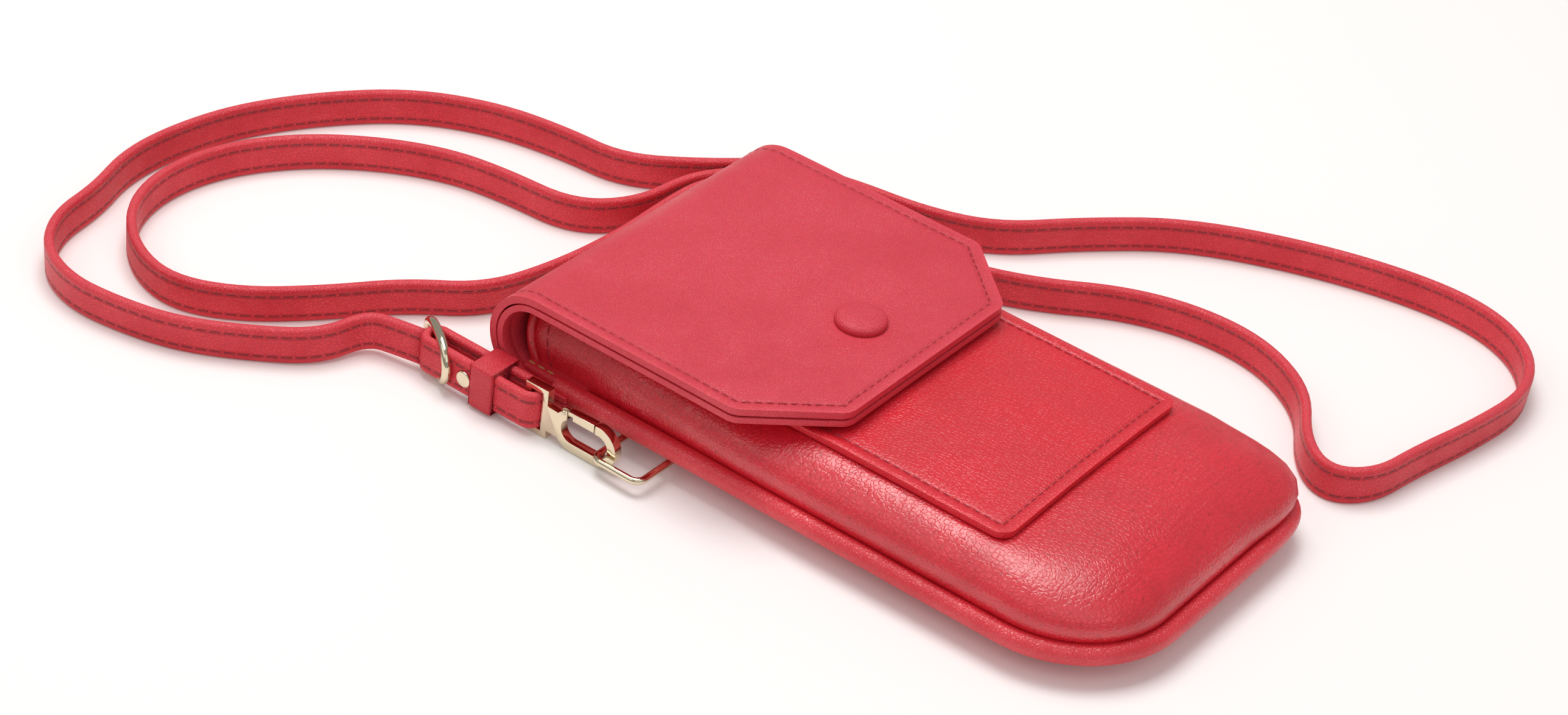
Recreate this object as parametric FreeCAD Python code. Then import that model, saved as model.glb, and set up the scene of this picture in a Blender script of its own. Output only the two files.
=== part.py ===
import FreeCAD
import Part
import math
import os

Vec = FreeCAD.Vector
os.makedirs("parts", exist_ok=True)

# A leather phone pouch lying on its back, with its flap closed and its strap
# laid out on the same surface. +X runs across the pouch, +Y from the bottom
# to the fold of the flap, +Z up out of the front. The origin is under the
# middle of the pouch, on the surface that it lies on.

# Pouch body: two moulded leather panels sewn together at the piping.
overall_length = 178.9
seam_half_width = 43.8
seam_height = 7.9
seam_corner_r = 25.2
front_height = 22.6
leather = 1.8
lining_cloth = 0.8
layer_gap = 0.05
overrun = 5.0

# How the front swells from the seam to its flat top, and the back to its flat
# underside: shares of the height, of the inset at the sides and at the ends.
shoulder_inset = 5.4
toe_inset = 13.5
front_shares = ((0, 0, 0), (0.66, 0.05, 0.14), (0.9, 0.3, 0.45), (1, 1, 1))
back_inset = 10.8
back_end_inset = 13.0
back_shares = ((0, 0, 0), (0.5, 0.45, 0.4), (1, 1, 1))
back_crown_r = 9.0
corner_keep_share = 0.6

# Piping along the seam.
piping_r = 2.6
piping_gap = 0.1

# Flap, fold and the root that is sewn under the mouth of the back panel.
flap_length = 79.55
flap_overhang = 0.5
flap_chamfer_length = 20.1
flap_chamfer_width = 18.3
flap_corner_r = 5.0
flap_gap = 0.5
flap_leather = 1.9
flap_core = 0.6
flap_cloth = 1.5
flap_core_inset = 2.3
fold_low = 4.2
fold_leather = 3.0
fold_strips = 3
hinge_gap = 0.3

# Mouth of the pouch.
mouth_setback = 1.6
front_hem_length = 12.0
front_hem_leather = 1.0
back_hem_length = 10.0
back_hem_lap = 6.0
back_hem_leather = 1.6
side_gap = 0.1

# Flat slip pocket on the front.
pocket_margin = 7.1
pocket_from_foot = 32.65
pocket_over_snap = 16.1
pocket_corner_r = 4.0
pocket_leather = 2.0
pocket_seam = 3.0
pocket_slot = 0.8

# Button and magnetic snap.
button_r = 7.25
button_height = 2.7
button_edge = 0.7
button_post_r = 1.5
snap_from_tip = 20.3
snap_socket_r = 7.0
snap_socket_bore_r = 3.0
snap_socket_height = 1.7
snap_stud_r = 2.2
snap_stud_reach = 1.5
snap_washer_r = 5.5
pocket_washer_thick = 0.7

# Side rings in their leather tabs.
ring_wire_r = 0.9
ring_bar_inset = 2.3
ring_from_mouth = 32.8
ring_height = 4.1
ring_inner_half = 6.0
ring_corner_r = 2.4
ring_margin = 1.1
ring_bore_gap = 0.05
tab_leather = 1.25
tab_half_width = 4.4
tab_root = 6.0

# Snap hooks, standing on edge beside the pouch, nose towards the bottom.
hook_side_gap = 5.6
hook_thick = 2.4
hook_wire = 2.4
hook_low = 0.4
hook_high = 11.6
hook_length = 28.0
hook_neck_start = 6.9
hook_neck_half = 3.5
hook_bow_start = 9.0
hook_ring_place = 23.0
hook_gate_start = 12.9
hook_gate_end = 21.5
gate_axle_place = 11.8
gate_gap = 0.3
gate_tongue = 1.0
gate_slot_gap = 0.1
gate_tongue_r = 0.95
gate_thin = 0.1
gate_heel = 1.4
gate_drop = 0.6
axle_r = 0.6
axle_fit = 0.02
axle_running_gap = 0.05
axle_head = 0.35
eye_low = 0.2
eye_high = 13.8
eye_bar = 1.7
eye_rail = 1.5
eye_hole = 3.5

# Strap and the pieces on it.
strap_width = 10.0
strap_thick = 2.4
strap_lift = 1.9
loop_inner_r = 1.6
far_loop_length = 11.2
slider_from_eye = 18.55
slider_length = 21.0
slider_thick = 1.8
slider_bar = 1.6
slider_middle = 10.45
keeper_from_eye = 7.35
keeper_length = 7.0
keeper_leather = 1.0
keeper_gap = 0.1
rivet_from_eye = 16.65
rivet_r = 1.2
rivet_head_r = 2.2
rivet_head = 0.7
strap_runs = 5
arc_share = 0.45
round_share = 0.999

# The strap's course on the surface, from the slider to the far hook, at the
# middle of its thickness. It stands on its edge.
strap_route = [
    (-57, 111.6), (-60, 119), (-70, 125), (-81, 137), (-91, 152), (-97, 166), (-99, 181),
    (-94, 195), (-82, 204), (-66, 206), (-51, 211), (-33, 213), (-13, 209), (8, 199),
    (27, 184), (39, 164), (43, 143), (46, 126), (58, 110), (73, 94), (79, 74), (83, 54),
    (92, 36), (109, 20), (130, 0), (146, -32), (153, -61), (152, -81), (143, -96),
    (126, -103), (104, -100), (83, -96), (66, -93), (58, -82), (64, -70), (79, -61),
    (90, -45), (94, -25), (89, -5), (76, 12), (67, 31), (69, 44), (73, 58), (74.5, 74),
    (70, 88), (60, 99), (48, 106), (31, 108), (19, 120), (14, 139), (11, 156), (2, 173), (-12, 188), (-30, 198),
    (-49, 200), (-66, 194), (-78, 181), (-82, 164), (-74, 148), (-58, 135), (-41, 124),
    (-27, 110), (-8, 103), (14, 101), (34, 102), (47, 101.5), (54.4, 96.5), (55.2, 86.3)]

# Heights and places that follow from the sizes above.
pocket_top = front_height + pocket_leather
flap_under = pocket_top + snap_socket_height + flap_gap
core_under = flap_under + flap_cloth
flap_top = core_under + flap_core + flap_leather
fold_r = (flap_top - fold_low) / 2
fold_z = fold_low + fold_r
foot_y = -overall_length / 2
piping_x = seam_half_width + piping_gap + piping_r
piping_foot_y = foot_y + piping_r
seam_foot_y = piping_foot_y + piping_r + piping_gap
fold_y = overall_length / 2 - fold_r
mouth_y = fold_y - mouth_setback
back_top_y = mouth_y - back_hem_length
flap_half_width = piping_x + piping_r + flap_overhang
flap_tip_half = flap_half_width - flap_chamfer_width
flap_tip_y = fold_y - flap_length
flap_corner_y = flap_tip_y + flap_chamfer_length
snap_y = flap_tip_y + snap_from_tip
pocket_half_width = seam_half_width - pocket_margin
pocket_foot_y = seam_foot_y + pocket_from_foot
pocket_mouth_y = snap_y + pocket_over_snap
ring_bar_x = seam_half_width - ring_bar_inset
ring_y = mouth_y - ring_from_mouth
hook_x = flap_half_width + hook_side_gap
ring_out_x = hook_x + hook_thick / 2 + ring_margin + ring_wire_r
ring_half = ring_inner_half + ring_wire_r
eye_y = ring_y + ring_half + hook_ring_place
loop_y = eye_y - eye_bar / 2
loop_half = loop_inner_r + strap_thick
keeper_y = eye_y + keeper_from_eye
rivet_y = eye_y + rivet_from_eye
slider_start_y = eye_y + slider_from_eye
slider_bar_y = slider_start_y + slider_middle


def rounded_wire(corners, z):
    """Closed outline through (x, y, radius) corners at height z."""
    edges = []
    count = len(corners)
    starts = []
    for i in range(count):
        x, y, r = corners[i]
        here = Vec(x, y, z)
        before = Vec(corners[i - 1][0], corners[i - 1][1], z) - here
        after = Vec(corners[(i + 1) % count][0], corners[(i + 1) % count][1], z) - here
        if r == 0:
            starts.append((here, None, here))
            continue
        half = before.getAngle(after) / 2
        reach = r / math.tan(half)
        middle = before.normalize() + after.normalize()
        bulge = here + middle.normalize() * (r / math.sin(half) - r)
        starts.append((here + before * reach, bulge, here + after * reach))
    for i in range(count):
        enter, bulge, leave = starts[i]
        if bulge is not None:
            edges.append(Part.Arc(enter, bulge, leave).toShape())
        edges.append(Part.LineSegment(leave, starts[(i + 1) % count][0]).toShape())
    return Part.Wire(edges)


def slab(corners, low, high):
    face = Part.Face(rounded_wire(corners, low))
    return face.extrude(Vec(0, 0, high - low))


def block(x0, x1, y0, y1, z0, z1):
    return Part.makeBox(x1 - x0, y1 - y0, z1 - z0, Vec(x0, y0, z0))


def cylinder_z(r, y, low, high):
    return Part.makeCylinder(r, high - low, Vec(0, y, low))


def mirror(shape):
    return shape.mirror(Vec(0, 0, 0), Vec(1, 0, 0))


def front_body(inset, end_y):
    """Swelling front, drawn in by inset, from the seam upwards."""
    rise = front_height - inset - seam_height
    wires = []
    for rise_share, side_share, toe_share in front_shares:
        half = seam_half_width - inset - shoulder_inset * side_share
        low_y = seam_foot_y + inset + toe_inset * toe_share
        r = seam_corner_r - inset
        corners = [(-half, low_y, r), (half, low_y, r), (half, end_y, 0), (-half, end_y, 0)]
        wires.append(rounded_wire(corners, seam_height + rise * rise_share))
    return Part.makeLoft(wires, True, True)


def back_body(inset):
    """Hollowed back, drawn in by inset, from the seam downwards."""
    drop = seam_height - inset
    wires = []
    for drop_share, side_share, end_share in back_shares:
        half = seam_half_width - inset - back_inset * side_share
        low_y = seam_foot_y + inset + back_end_inset * end_share
        high_y = back_top_y - inset - back_end_inset * end_share
        r = (seam_corner_r - inset) * (1 - (1 - corner_keep_share) * end_share)
        top_r = back_crown_r - inset
        corners = [(-half, low_y, r), (half, low_y, r), (half, high_y, top_r), (-half, high_y, top_r)]
        wires.append(rounded_wire(corners, seam_height - drop * drop_share))
    return Part.makeLoft(wires, True, True)


def front_layer(inset, thick, low_y, high_y, low_z):
    """One layer of the front, between two insets, two places along the pouch and above low_z."""
    hollow = front_body(inset + thick, high_y + overrun)
    return front_body(inset, high_y).cut(hollow).common(
        block(-seam_half_width, seam_half_width, low_y, high_y, low_z, flap_top))


def back_layer(inset, thick):
    return back_body(inset).cut(back_body(inset + thick))


def piping():
    straight_end = back_top_y - piping_gap
    r = seam_corner_r + piping_gap + piping_r
    shares = math.sqrt(0.5)
    low = piping_foot_y
    side = low + r
    inner = piping_x - r
    z = seam_height
    points = [Vec(-piping_x, straight_end, z), Vec(-piping_x, side, z), Vec(-inner, low, z),
              Vec(inner, low, z), Vec(piping_x, side, z), Vec(piping_x, straight_end, z)]
    near_mid = Vec(-inner - r * shares, side - r * shares, z)
    far_mid = Vec(inner + r * shares, side - r * shares, z)
    edges = [Part.LineSegment(points[0], points[1]).toShape(),
             Part.Arc(points[1], near_mid, points[2]).toShape(),
             Part.LineSegment(points[2], points[3]).toShape(),
             Part.Arc(points[3], far_mid, points[4]).toShape(),
             Part.LineSegment(points[4], points[5]).toShape()]
    ring = Part.Wire(Part.makeCircle(piping_r, points[0], Vec(0, 1, 0)))
    return Part.Wire(edges).makePipeShell([ring], True, False)


def back_hem():
    half = seam_half_width - leather - layer_gap - lining_cloth - side_gap
    return block(-half, half, back_top_y - back_hem_lap, mouth_y,
                 seam_height, seam_height + back_hem_leather)


def front_pocket():
    w = pocket_half_width
    outer = [(-w, pocket_foot_y, pocket_corner_r), (w, pocket_foot_y, pocket_corner_r),
             (w, pocket_mouth_y, 0), (-w, pocket_mouth_y, 0)]
    slot = block(pocket_seam - w, w - pocket_seam, pocket_foot_y + pocket_seam,
                 pocket_mouth_y + overrun, front_height - overrun, front_height + pocket_slot)
    return slab(outer, front_height, pocket_top).cut(slot)


def snap_socket():
    ring = cylinder_z(snap_socket_r, snap_y, pocket_top, pocket_top + snap_socket_height)
    return ring.cut(cylinder_z(snap_socket_bore_r, snap_y, 0, flap_top))


def pocket_washer():
    high = front_height + pocket_slot
    return cylinder_z(snap_washer_r, snap_y, high - pocket_washer_thick, high)


def flap_root():
    return block(-flap_half_width, flap_half_width, back_top_y + side_gap, fold_y - hinge_gap / 2,
                 fold_low, seam_height)


def fold_point(r, turn):
    return Vec(-flap_half_width, fold_y + r * math.cos(turn), fold_z + r * math.sin(turn))


def fold_strip(index):
    """One bending strip of the fold, a sector of the half ring."""
    turn = math.pi / fold_strips
    trim = hinge_gap / 2 / fold_r
    start = -math.pi / 2 + turn * index + trim
    end = start + turn - 2 * trim
    mid = (start + end) / 2
    inner = fold_r - fold_leather
    edges = [Part.Arc(fold_point(fold_r, start), fold_point(fold_r, mid), fold_point(fold_r, end)).toShape(),
             Part.LineSegment(fold_point(fold_r, end), fold_point(inner, end)).toShape(),
             Part.Arc(fold_point(inner, end), fold_point(inner, mid), fold_point(inner, start)).toShape(),
             Part.LineSegment(fold_point(inner, start), fold_point(fold_r, start)).toShape()]
    return Part.Face(Part.Wire(edges)).extrude(Vec(2 * flap_half_width, 0, 0))


def flap_outline(inset):
    w = flap_half_width - inset
    tip = flap_tip_half - inset
    low = flap_tip_y + inset
    high = fold_y - hinge_gap / 2 - inset
    r = flap_corner_r
    return [(-w, flap_corner_y, r), (-tip, low, r), (tip, low, r), (w, flap_corner_y, r),
            (w, high, 0), (-w, high, 0)]


def flap_outer():
    sheet = slab(flap_outline(0), flap_top - flap_leather, flap_top)
    return sheet.cut(cylinder_z(button_post_r + layer_gap, snap_y, 0, flap_top + overrun))


def flap_stiffener():
    sheet = slab(flap_outline(flap_core_inset), core_under, core_under + flap_core)
    return sheet.cut(cylinder_z(snap_washer_r + layer_gap, snap_y, 0, flap_top))


def flap_lining():
    sheet = slab(flap_outline(0), flap_under, core_under)
    return sheet.cut(cylinder_z(snap_stud_r + layer_gap, snap_y, 0, flap_top))


def flap_button():
    """Domed cap with its post through the outer leather."""
    base = flap_top
    rim = Vec(button_r, snap_y, base + button_edge)
    crown = Vec(0, snap_y, base + button_height)
    dome = button_height - button_edge
    sphere_r = (button_r ** 2 + dome ** 2) / (2 * dome)
    half_turn = math.asin(button_r / sphere_r) / 2
    mid = Vec(sphere_r * math.sin(half_turn), snap_y,
              base + button_height - sphere_r * (1 - math.cos(half_turn)))
    centre = Vec(0, snap_y, base)
    edge = Vec(button_r, snap_y, base)
    edges = [Part.LineSegment(centre, edge).toShape(), Part.LineSegment(edge, rim).toShape(),
             Part.Arc(rim, mid, crown).toShape(), Part.LineSegment(crown, centre).toShape()]
    cap = Part.Face(Part.Wire(edges)).revolve(centre, Vec(0, 0, 1), 360)
    return cap.fuse(cylinder_z(button_post_r, snap_y, base - flap_leather, base + button_edge))


def snap_stud():
    return cylinder_z(snap_stud_r, snap_y, flap_under - snap_stud_reach, core_under)


def flap_washer():
    return cylinder_z(snap_washer_r, snap_y, core_under, core_under + flap_core)


def side_ring():
    """Ring of round wire, lying flat, with its straight bar in the tab."""
    a, b, r = ring_bar_x, ring_out_x, ring_corner_r
    low, high = ring_y - ring_half, ring_y + ring_half
    path = rounded_wire([(a, low, r), (b, low, r), (b, high, r), (a, high, r)], ring_height)
    start = path.Edges[0].Vertexes[0].Point
    along = path.Edges[0].tangentAt(path.Edges[0].FirstParameter)
    section = Part.Wire(Part.makeCircle(ring_wire_r, start, along))
    return path.makePipeShell([section], True, False)


def ring_tab():
    """Leather tab folded round the ring's bar and sewn to the back panel."""
    low = ring_y - tab_half_width
    length = 2 * tab_half_width
    bore = ring_wire_r + ring_bore_gap
    along = Vec(0, 1, 0)
    centre = Vec(ring_bar_x, low, ring_height)
    fold = Part.makeCylinder(bore + tab_leather, length, centre, along)
    root = block(ring_bar_x - tab_root, ring_bar_x, low, low + length,
                 ring_height - tab_leather, ring_height + tab_leather)
    hole = Part.makeCylinder(bore, length, centre, along)
    return fold.fuse(root).cut(hole).cut(back_body(0))


def hook_block(u0, u1, w0, w1, half_thick):
    """Block of the hook: u runs from the eye to the nose, w upwards."""
    return block(hook_x - half_thick, hook_x + half_thick, eye_y - u1, eye_y - u0, w0, w1)


def hook_round(u, w, r, half_thick):
    return Part.makeCylinder(r, 2 * half_thick, Vec(hook_x - half_thick, eye_y - u, w), Vec(1, 0, 0))


def hook_oval(margin, half_thick):
    """Long rounded shape of the bow, drawn in by margin."""
    mid = (hook_low + hook_high) / 2
    r = (hook_high - hook_low) / 2 - margin
    nose = hook_length - margin - r
    tail = hook_bow_start + margin + r
    bar = hook_block(tail, nose, mid - r, mid + r, half_thick)
    return bar.fuse([hook_round(nose, mid, r, half_thick), hook_round(tail, mid, r, half_thick)])


def hook_frame():
    half = hook_thick / 2
    mid = (hook_low + hook_high) / 2
    hole_low, hole_high = eye_low + eye_rail, eye_high - eye_rail
    eye = hook_block(0, hook_neck_start, eye_low, eye_high, half)
    eye = eye.cut(hook_block(eye_bar, eye_bar + eye_hole, hole_low, hole_high, 2 * half))
    neck = hook_block(hook_neck_start, hook_bow_start + hook_wire, mid - hook_neck_half,
                      mid + hook_neck_half, half)
    bow = hook_oval(0, half).fuse(neck).cut(hook_oval(hook_wire, 2 * half))
    gap_low = hook_high - hook_wire - gate_drop
    bow = bow.cut(hook_block(hook_gate_start, hook_gate_end, gap_low, hook_high + overrun, 2 * half))
    slot = hook_block(gate_axle_place - gate_tongue_r - gate_gap, hook_gate_start, gap_low,
                      hook_high + overrun, gate_tongue / 2 + gate_slot_gap)
    bore = hook_round(gate_axle_place, hook_high - hook_wire / 2, axle_r + axle_fit, 2 * half)
    return eye.fuse(bow).cut(slot).cut(bore)


def hook_gate():
    """Sprung gate: a bar that closes the bow, cut away at its heel, on a thin tongue at its pin."""
    half = hook_thick / 2
    low, high = hook_high - hook_wire + gate_thin, hook_high - gate_thin
    pivot_w = hook_high - hook_wire / 2
    start = hook_gate_start + gate_gap
    bar = hook_block(start, hook_gate_end - gate_gap - gate_thin, low, high, half)
    bar = bar.cut(hook_block(start, start + gate_heel, low, pivot_w, 2 * half))
    tongue = hook_block(gate_axle_place, start, pivot_w - gate_tongue_r, pivot_w + gate_tongue_r,
                        gate_tongue / 2)
    knuckle = hook_round(gate_axle_place, pivot_w, gate_tongue_r, gate_tongue / 2)
    bore = hook_round(gate_axle_place, pivot_w, axle_r + axle_running_gap, half)
    return bar.fuse([tongue, knuckle]).cut(bore)


def hook_pin():
    return hook_round(gate_axle_place, hook_high - hook_wire / 2, axle_r, hook_thick / 2 + axle_head)


def strap_loop(end_y, with_rivet):
    """Closed loop of strap round the hook's eye bar and back, standing on edge."""
    x = hook_x

    def stadium(r):
        bend = r * round_share
        corners = [(x - r, loop_y - r, bend), (x + r, loop_y - r, bend),
                   (x + r, end_y + r, bend), (x - r, end_y + r, bend)]
        return slab(corners, strap_lift, strap_lift + strap_width)
    loop = stadium(loop_half).cut(stadium(loop_inner_r))
    if with_rivet:
        loop = loop.cut(rivet_rod(rivet_r))
    return loop


def rivet_rod(r):
    z = strap_lift + strap_width / 2
    return Part.makeCylinder(r, 2 * loop_half, Vec(hook_x - loop_half, rivet_y, z), Vec(1, 0, 0))


def strap_rivet():
    z = strap_lift + strap_width / 2
    heads = [Part.makeCylinder(rivet_head_r, rivet_head, Vec(x, rivet_y, z), Vec(1, 0, 0))
             for x in (hook_x - loop_half - rivet_head, hook_x + loop_half)]
    return rivet_rod(rivet_r).fuse(heads)


def strap_keeper():
    """Leather band round both strands of the loop."""
    reach = loop_half + keeper_gap
    low, high = strap_lift - keeper_gap, strap_lift + strap_width + keeper_gap
    t = keeper_leather
    outer = block(hook_x - reach - t, hook_x + reach + t, keeper_y, keeper_y + keeper_length,
                  low - t, high + t)
    return outer.cut(block(hook_x - reach, hook_x + reach, 0, overall_length, low, high))


def strap_slider():
    """Flat frame with a middle bar that the loop turns round."""
    half = slider_thick / 2
    end = slider_start_y + slider_length
    frame = block(hook_x - half, hook_x + half, slider_start_y, end, eye_low, eye_high)
    low, high = eye_low + eye_rail, eye_high - eye_rail
    first = block(0, overall_length, slider_start_y + slider_bar, slider_bar_y - slider_bar / 2, low, high)
    second = block(0, overall_length, slider_bar_y + slider_bar / 2, end - slider_bar, low, high)
    return frame.cut(first).cut(second)


def route_bends():
    """At each inner point of the route: where its arc starts and ends, its middle, radius, side."""
    points = [Vec(x, y, 0) for x, y in strap_route]
    bends = [None]
    for i in range(1, len(points) - 1):
        here = points[i]
        back = points[i - 1] - here
        ahead = points[i + 1] - here
        reach = arc_share * min(back.Length, ahead.Length)
        half_turn = (math.pi - back.getAngle(ahead)) / 2
        r = reach / math.tan(half_turn)
        left = back.cross(ahead).z < 0
        back.normalize()
        ahead.normalize()
        inward = (back + ahead).normalize()
        centre = here + inward * (r / math.cos(half_turn))
        bends.append((here + back * reach, here + ahead * reach, centre, r, left))
    bends.append(None)
    return points, bends


def course(first, last, points, bends):
    """Straight runs and arcs from the middle of one run to the middle of another."""
    def run_middle(i):
        return (points[i] + points[i + 1]) * 0.5
    here = points[0] if first == 0 else run_middle(first)
    goal = points[-1] if last == len(points) - 1 else run_middle(last)
    stop = last if last == len(points) - 1 else last + 1
    pieces = []
    for i in range(first + 1, stop):
        start, end, centre, r, left = bends[i]
        pieces.append((here, start, None, 0, left))
        pieces.append((start, end, centre, r, left))
        here = end
    pieces.append((here, goal, None, 0, True))
    return pieces


def side_edge(piece, offset):
    """The edge of one run or arc, shifted sideways to the left of the course."""
    start, end, centre, r, left = piece
    if centre is None:
        along = (end - start).normalize()
        shift = Vec(-along.y, along.x, 0) * offset
        return Part.LineSegment(start + shift, end + shift).toShape()
    size = r - offset if left else r + offset
    arms = [(p - centre).normalize() for p in (start, end)]
    mid = (arms[0] + arms[1]).normalize()
    return Part.Arc(centre + arms[0] * size, centre + mid * size, centre + arms[1] * size).toShape()


def strap_run(index, points, bends):
    """One stretch of the strap: a band of even thickness, standing on its edge."""
    last = len(points) - 1
    pieces = course(last * index // strap_runs, last * (index + 1) // strap_runs, points, bends)
    half = strap_thick / 2
    left = [side_edge(p, half) for p in pieces]
    right = [side_edge(p, -half) for p in pieces]
    caps = []
    for i in (0, -1):
        a = left[i].Vertexes[i].Point
        b = right[i].Vertexes[i].Point
        caps.append(Part.LineSegment(a, b).toShape())
    outline = Part.Wire(Part.__sortEdges__(left + right + caps))
    length = sum((e - s).Length if c is None else r * (s - c).getAngle(e - c)
                 for s, e, c, r, side in pieces)
    solid = Part.Face(outline).extrude(Vec(0, 0, strap_width))
    print("strap run", index + 1, "length %.1f" % length,
          "volume over section x length %.4f" % (solid.Volume / (length * strap_thick * strap_width)))
    return solid, length


def save(name, shape):
    solids = shape.Solids
    if len(solids) != 1 or not shape.isValid():
        print("CHECK", name, "solids", len(solids), "valid", shape.isValid())
    solids[0].exportStep("parts/" + name + ".step")


def build_pouch():
    save("front_panel", front_layer(0, leather, seam_foot_y, mouth_y, 0))
    save("back_panel", back_layer(0, leather))
    inside = leather + layer_gap
    hem_y = mouth_y - front_hem_length
    save("lining_front", front_layer(inside, lining_cloth, seam_foot_y, hem_y, 0))
    save("lining_back", back_layer(inside, lining_cloth))
    save("front_hem", front_layer(inside, front_hem_leather, hem_y, mouth_y, seam_height + back_hem_leather))
    save("back_hem", back_hem())
    save("rim_piping", piping())
    save("front_pocket", front_pocket())
    save("snap_socket", snap_socket())
    save("pocket_washer", pocket_washer())


def build_flap():
    save("flap_root", flap_root())
    for i in range(fold_strips):
        save("fold_strip_%d" % (i + 1), fold_strip(i))
    save("flap_outer", flap_outer())
    save("flap_stiffener", flap_stiffener())
    save("flap_lining", flap_lining())
    save("flap_button", flap_button())
    save("snap_stud", snap_stud())
    save("flap_washer", flap_washer())


def build_fittings():
    pieces = {"ring": side_ring(), "ring_tab": ring_tab(), "hook_frame": hook_frame(),
              "hook_gate": hook_gate(), "hook_pin": hook_pin()}
    for name, shape in pieces.items():
        save(name + "_far", shape)
        save(name + "_near", mirror(shape))


def build_strap():
    save("strap_loop_near", mirror(strap_loop(slider_bar_y, True)))
    save("strap_loop_far", strap_loop(loop_y + far_loop_length, False))
    save("strap_rivet", mirror(strap_rivet()))
    save("strap_keeper", mirror(strap_keeper()))
    save("strap_slider", mirror(strap_slider()))
    points, bends = route_bends()
    print("strap radii", " ".join("%.0f" % b[3] for b in bends[1:-1]))
    total = 0
    for i in range(strap_runs):
        solid, length = strap_run(i, points, bends)
        save("strap_run_%d" % (i + 1), solid)
        total += length
    print("strap length %.0f" % total)


build_pouch()
build_flap()
build_fittings()
build_strap()
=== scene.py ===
import bpy
import math
from mathutils import Matrix, Vector, noise


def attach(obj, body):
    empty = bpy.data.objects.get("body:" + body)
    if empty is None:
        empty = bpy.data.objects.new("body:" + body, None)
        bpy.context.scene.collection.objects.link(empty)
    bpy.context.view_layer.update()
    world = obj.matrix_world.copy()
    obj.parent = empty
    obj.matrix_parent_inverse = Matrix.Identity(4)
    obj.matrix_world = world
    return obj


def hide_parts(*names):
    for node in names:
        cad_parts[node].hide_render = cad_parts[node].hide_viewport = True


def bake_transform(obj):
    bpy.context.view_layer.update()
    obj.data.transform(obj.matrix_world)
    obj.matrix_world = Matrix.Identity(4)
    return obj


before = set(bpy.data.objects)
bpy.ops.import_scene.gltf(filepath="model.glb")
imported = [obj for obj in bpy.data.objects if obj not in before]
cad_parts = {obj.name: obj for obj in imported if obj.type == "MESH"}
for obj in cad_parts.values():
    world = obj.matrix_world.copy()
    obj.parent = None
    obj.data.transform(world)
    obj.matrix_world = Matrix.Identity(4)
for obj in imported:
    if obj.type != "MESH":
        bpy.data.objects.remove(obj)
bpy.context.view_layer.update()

mm = 0.001
print("frame loaded:", len(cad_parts), "nodes")

tiny = 0.00001  # points closer than this count as one
hair = 0.0001
cutGap = 0.000001  # how near to a cut a point counts as on it
origin = (0, 0, 0)
quarterTurn = math.pi / 2
zUp = Vector((0, 0, 1))


def clamp(value):
    return max(0.0, min(1.0, value))


# small helpers for working by operator
def clearSelection():
    if bpy.context.object and bpy.context.object.mode != "OBJECT":
        bpy.ops.object.mode_set(mode="OBJECT")
    bpy.ops.object.select_all(action="DESELECT")


def takeUp(piece):
    clearSelection()
    piece.select_set(True)
    bpy.context.view_layer.objects.active = piece


def newest(name):
    piece = bpy.context.object
    piece.name = piece.data.name = name
    return piece


def pick(piece, kind, test, byIndex=False):
    # leaves the piece in edit mode with the chosen corners, edges or faces selected
    takeUp(piece)
    mesh = piece.data
    bpy.context.tool_settings.mesh_select_mode = [kind == k for k in ("VERT", "EDGE", "FACE")]
    for group in (mesh.vertices, mesh.edges, mesh.polygons):
        group.foreach_set("select", [False] * len(group))
    if kind == "VERT":
        for corner in mesh.vertices:
            corner.select = test(corner.co)
    elif kind == "EDGE":
        for edge in mesh.edges:
            edge.select = test(*(i if byIndex else mesh.vertices[i].co for i in edge.vertices))
    else:
        for face in mesh.polygons:
            face.select = test(face.center)
    bpy.ops.object.mode_set(mode="EDIT")


def pickAll(piece, kind="VERT"):
    pick(piece, "VERT", lambda co: True)
    bpy.ops.mesh.select_mode(type=kind)


def backToObject():
    bpy.ops.object.mode_set(mode="OBJECT")


def pullEdges(x, y, z):
    bpy.ops.mesh.extrude_edges_move(TRANSFORM_OT_translate={"value": (x, y, z)})


def cutAway(piece, spot, normal):
    # takes off what lies beyond an upright plane
    pickAll(piece)
    bpy.ops.mesh.bisect(plane_co=(spot[0], spot[1], 0), plane_no=(normal.x, normal.y, 0), clear_outer=True,
                        threshold=cutGap)


def tidyMesh(piece, turnOut=True):
    pickAll(piece)
    bpy.ops.mesh.remove_doubles(threshold=tiny)
    if turnOut:
        bpy.ops.mesh.normals_make_consistent(inside=False)
    backToObject()


def finishWith(piece, kind, **settings):
    takeUp(piece)
    modifier = piece.modifiers.new(kind.title(), kind)
    for key, value in settings.items():
        setattr(modifier, key, value)
    bpy.ops.object.modifier_apply(modifier=modifier.name)


def thicken(piece, thick):
    finishWith(piece, "SOLIDIFY", thickness=thick, offset=-1)


def roundRims(piece, width, segments, angle=50):
    finishWith(piece, "BEVEL", width=width, segments=segments, limit_method="ANGLE",
               angle_limit=math.radians(angle))


def smooth(piece, angle=None):
    takeUp(piece)
    if angle is None:
        bpy.ops.object.shade_smooth()
    else:
        bpy.ops.object.shade_smooth_by_angle(angle=math.radians(angle))


def wear(piece, material):
    piece.data.materials.clear()
    piece.data.materials.append(material)


def settle(piece, material, rider, slotName, *nodes):
    # a finished piece gets its material and its body, and the nodes that it stands for are hidden
    wear(piece, material)
    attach(piece, rider)
    if nodes:
        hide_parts(*nodes)
    return piece


def reshape(piece, move):
    # soft moves of single points, as with a sculpting brush
    for corner in piece.data.vertices:
        corner.co = move(corner.co.copy())
    piece.data.update()


def copyOf(source, name):
    piece = bpy.data.objects.new(name, source.data.copy())
    piece.data.name = name
    bpy.context.scene.collection.objects.link(piece)
    return piece


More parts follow.
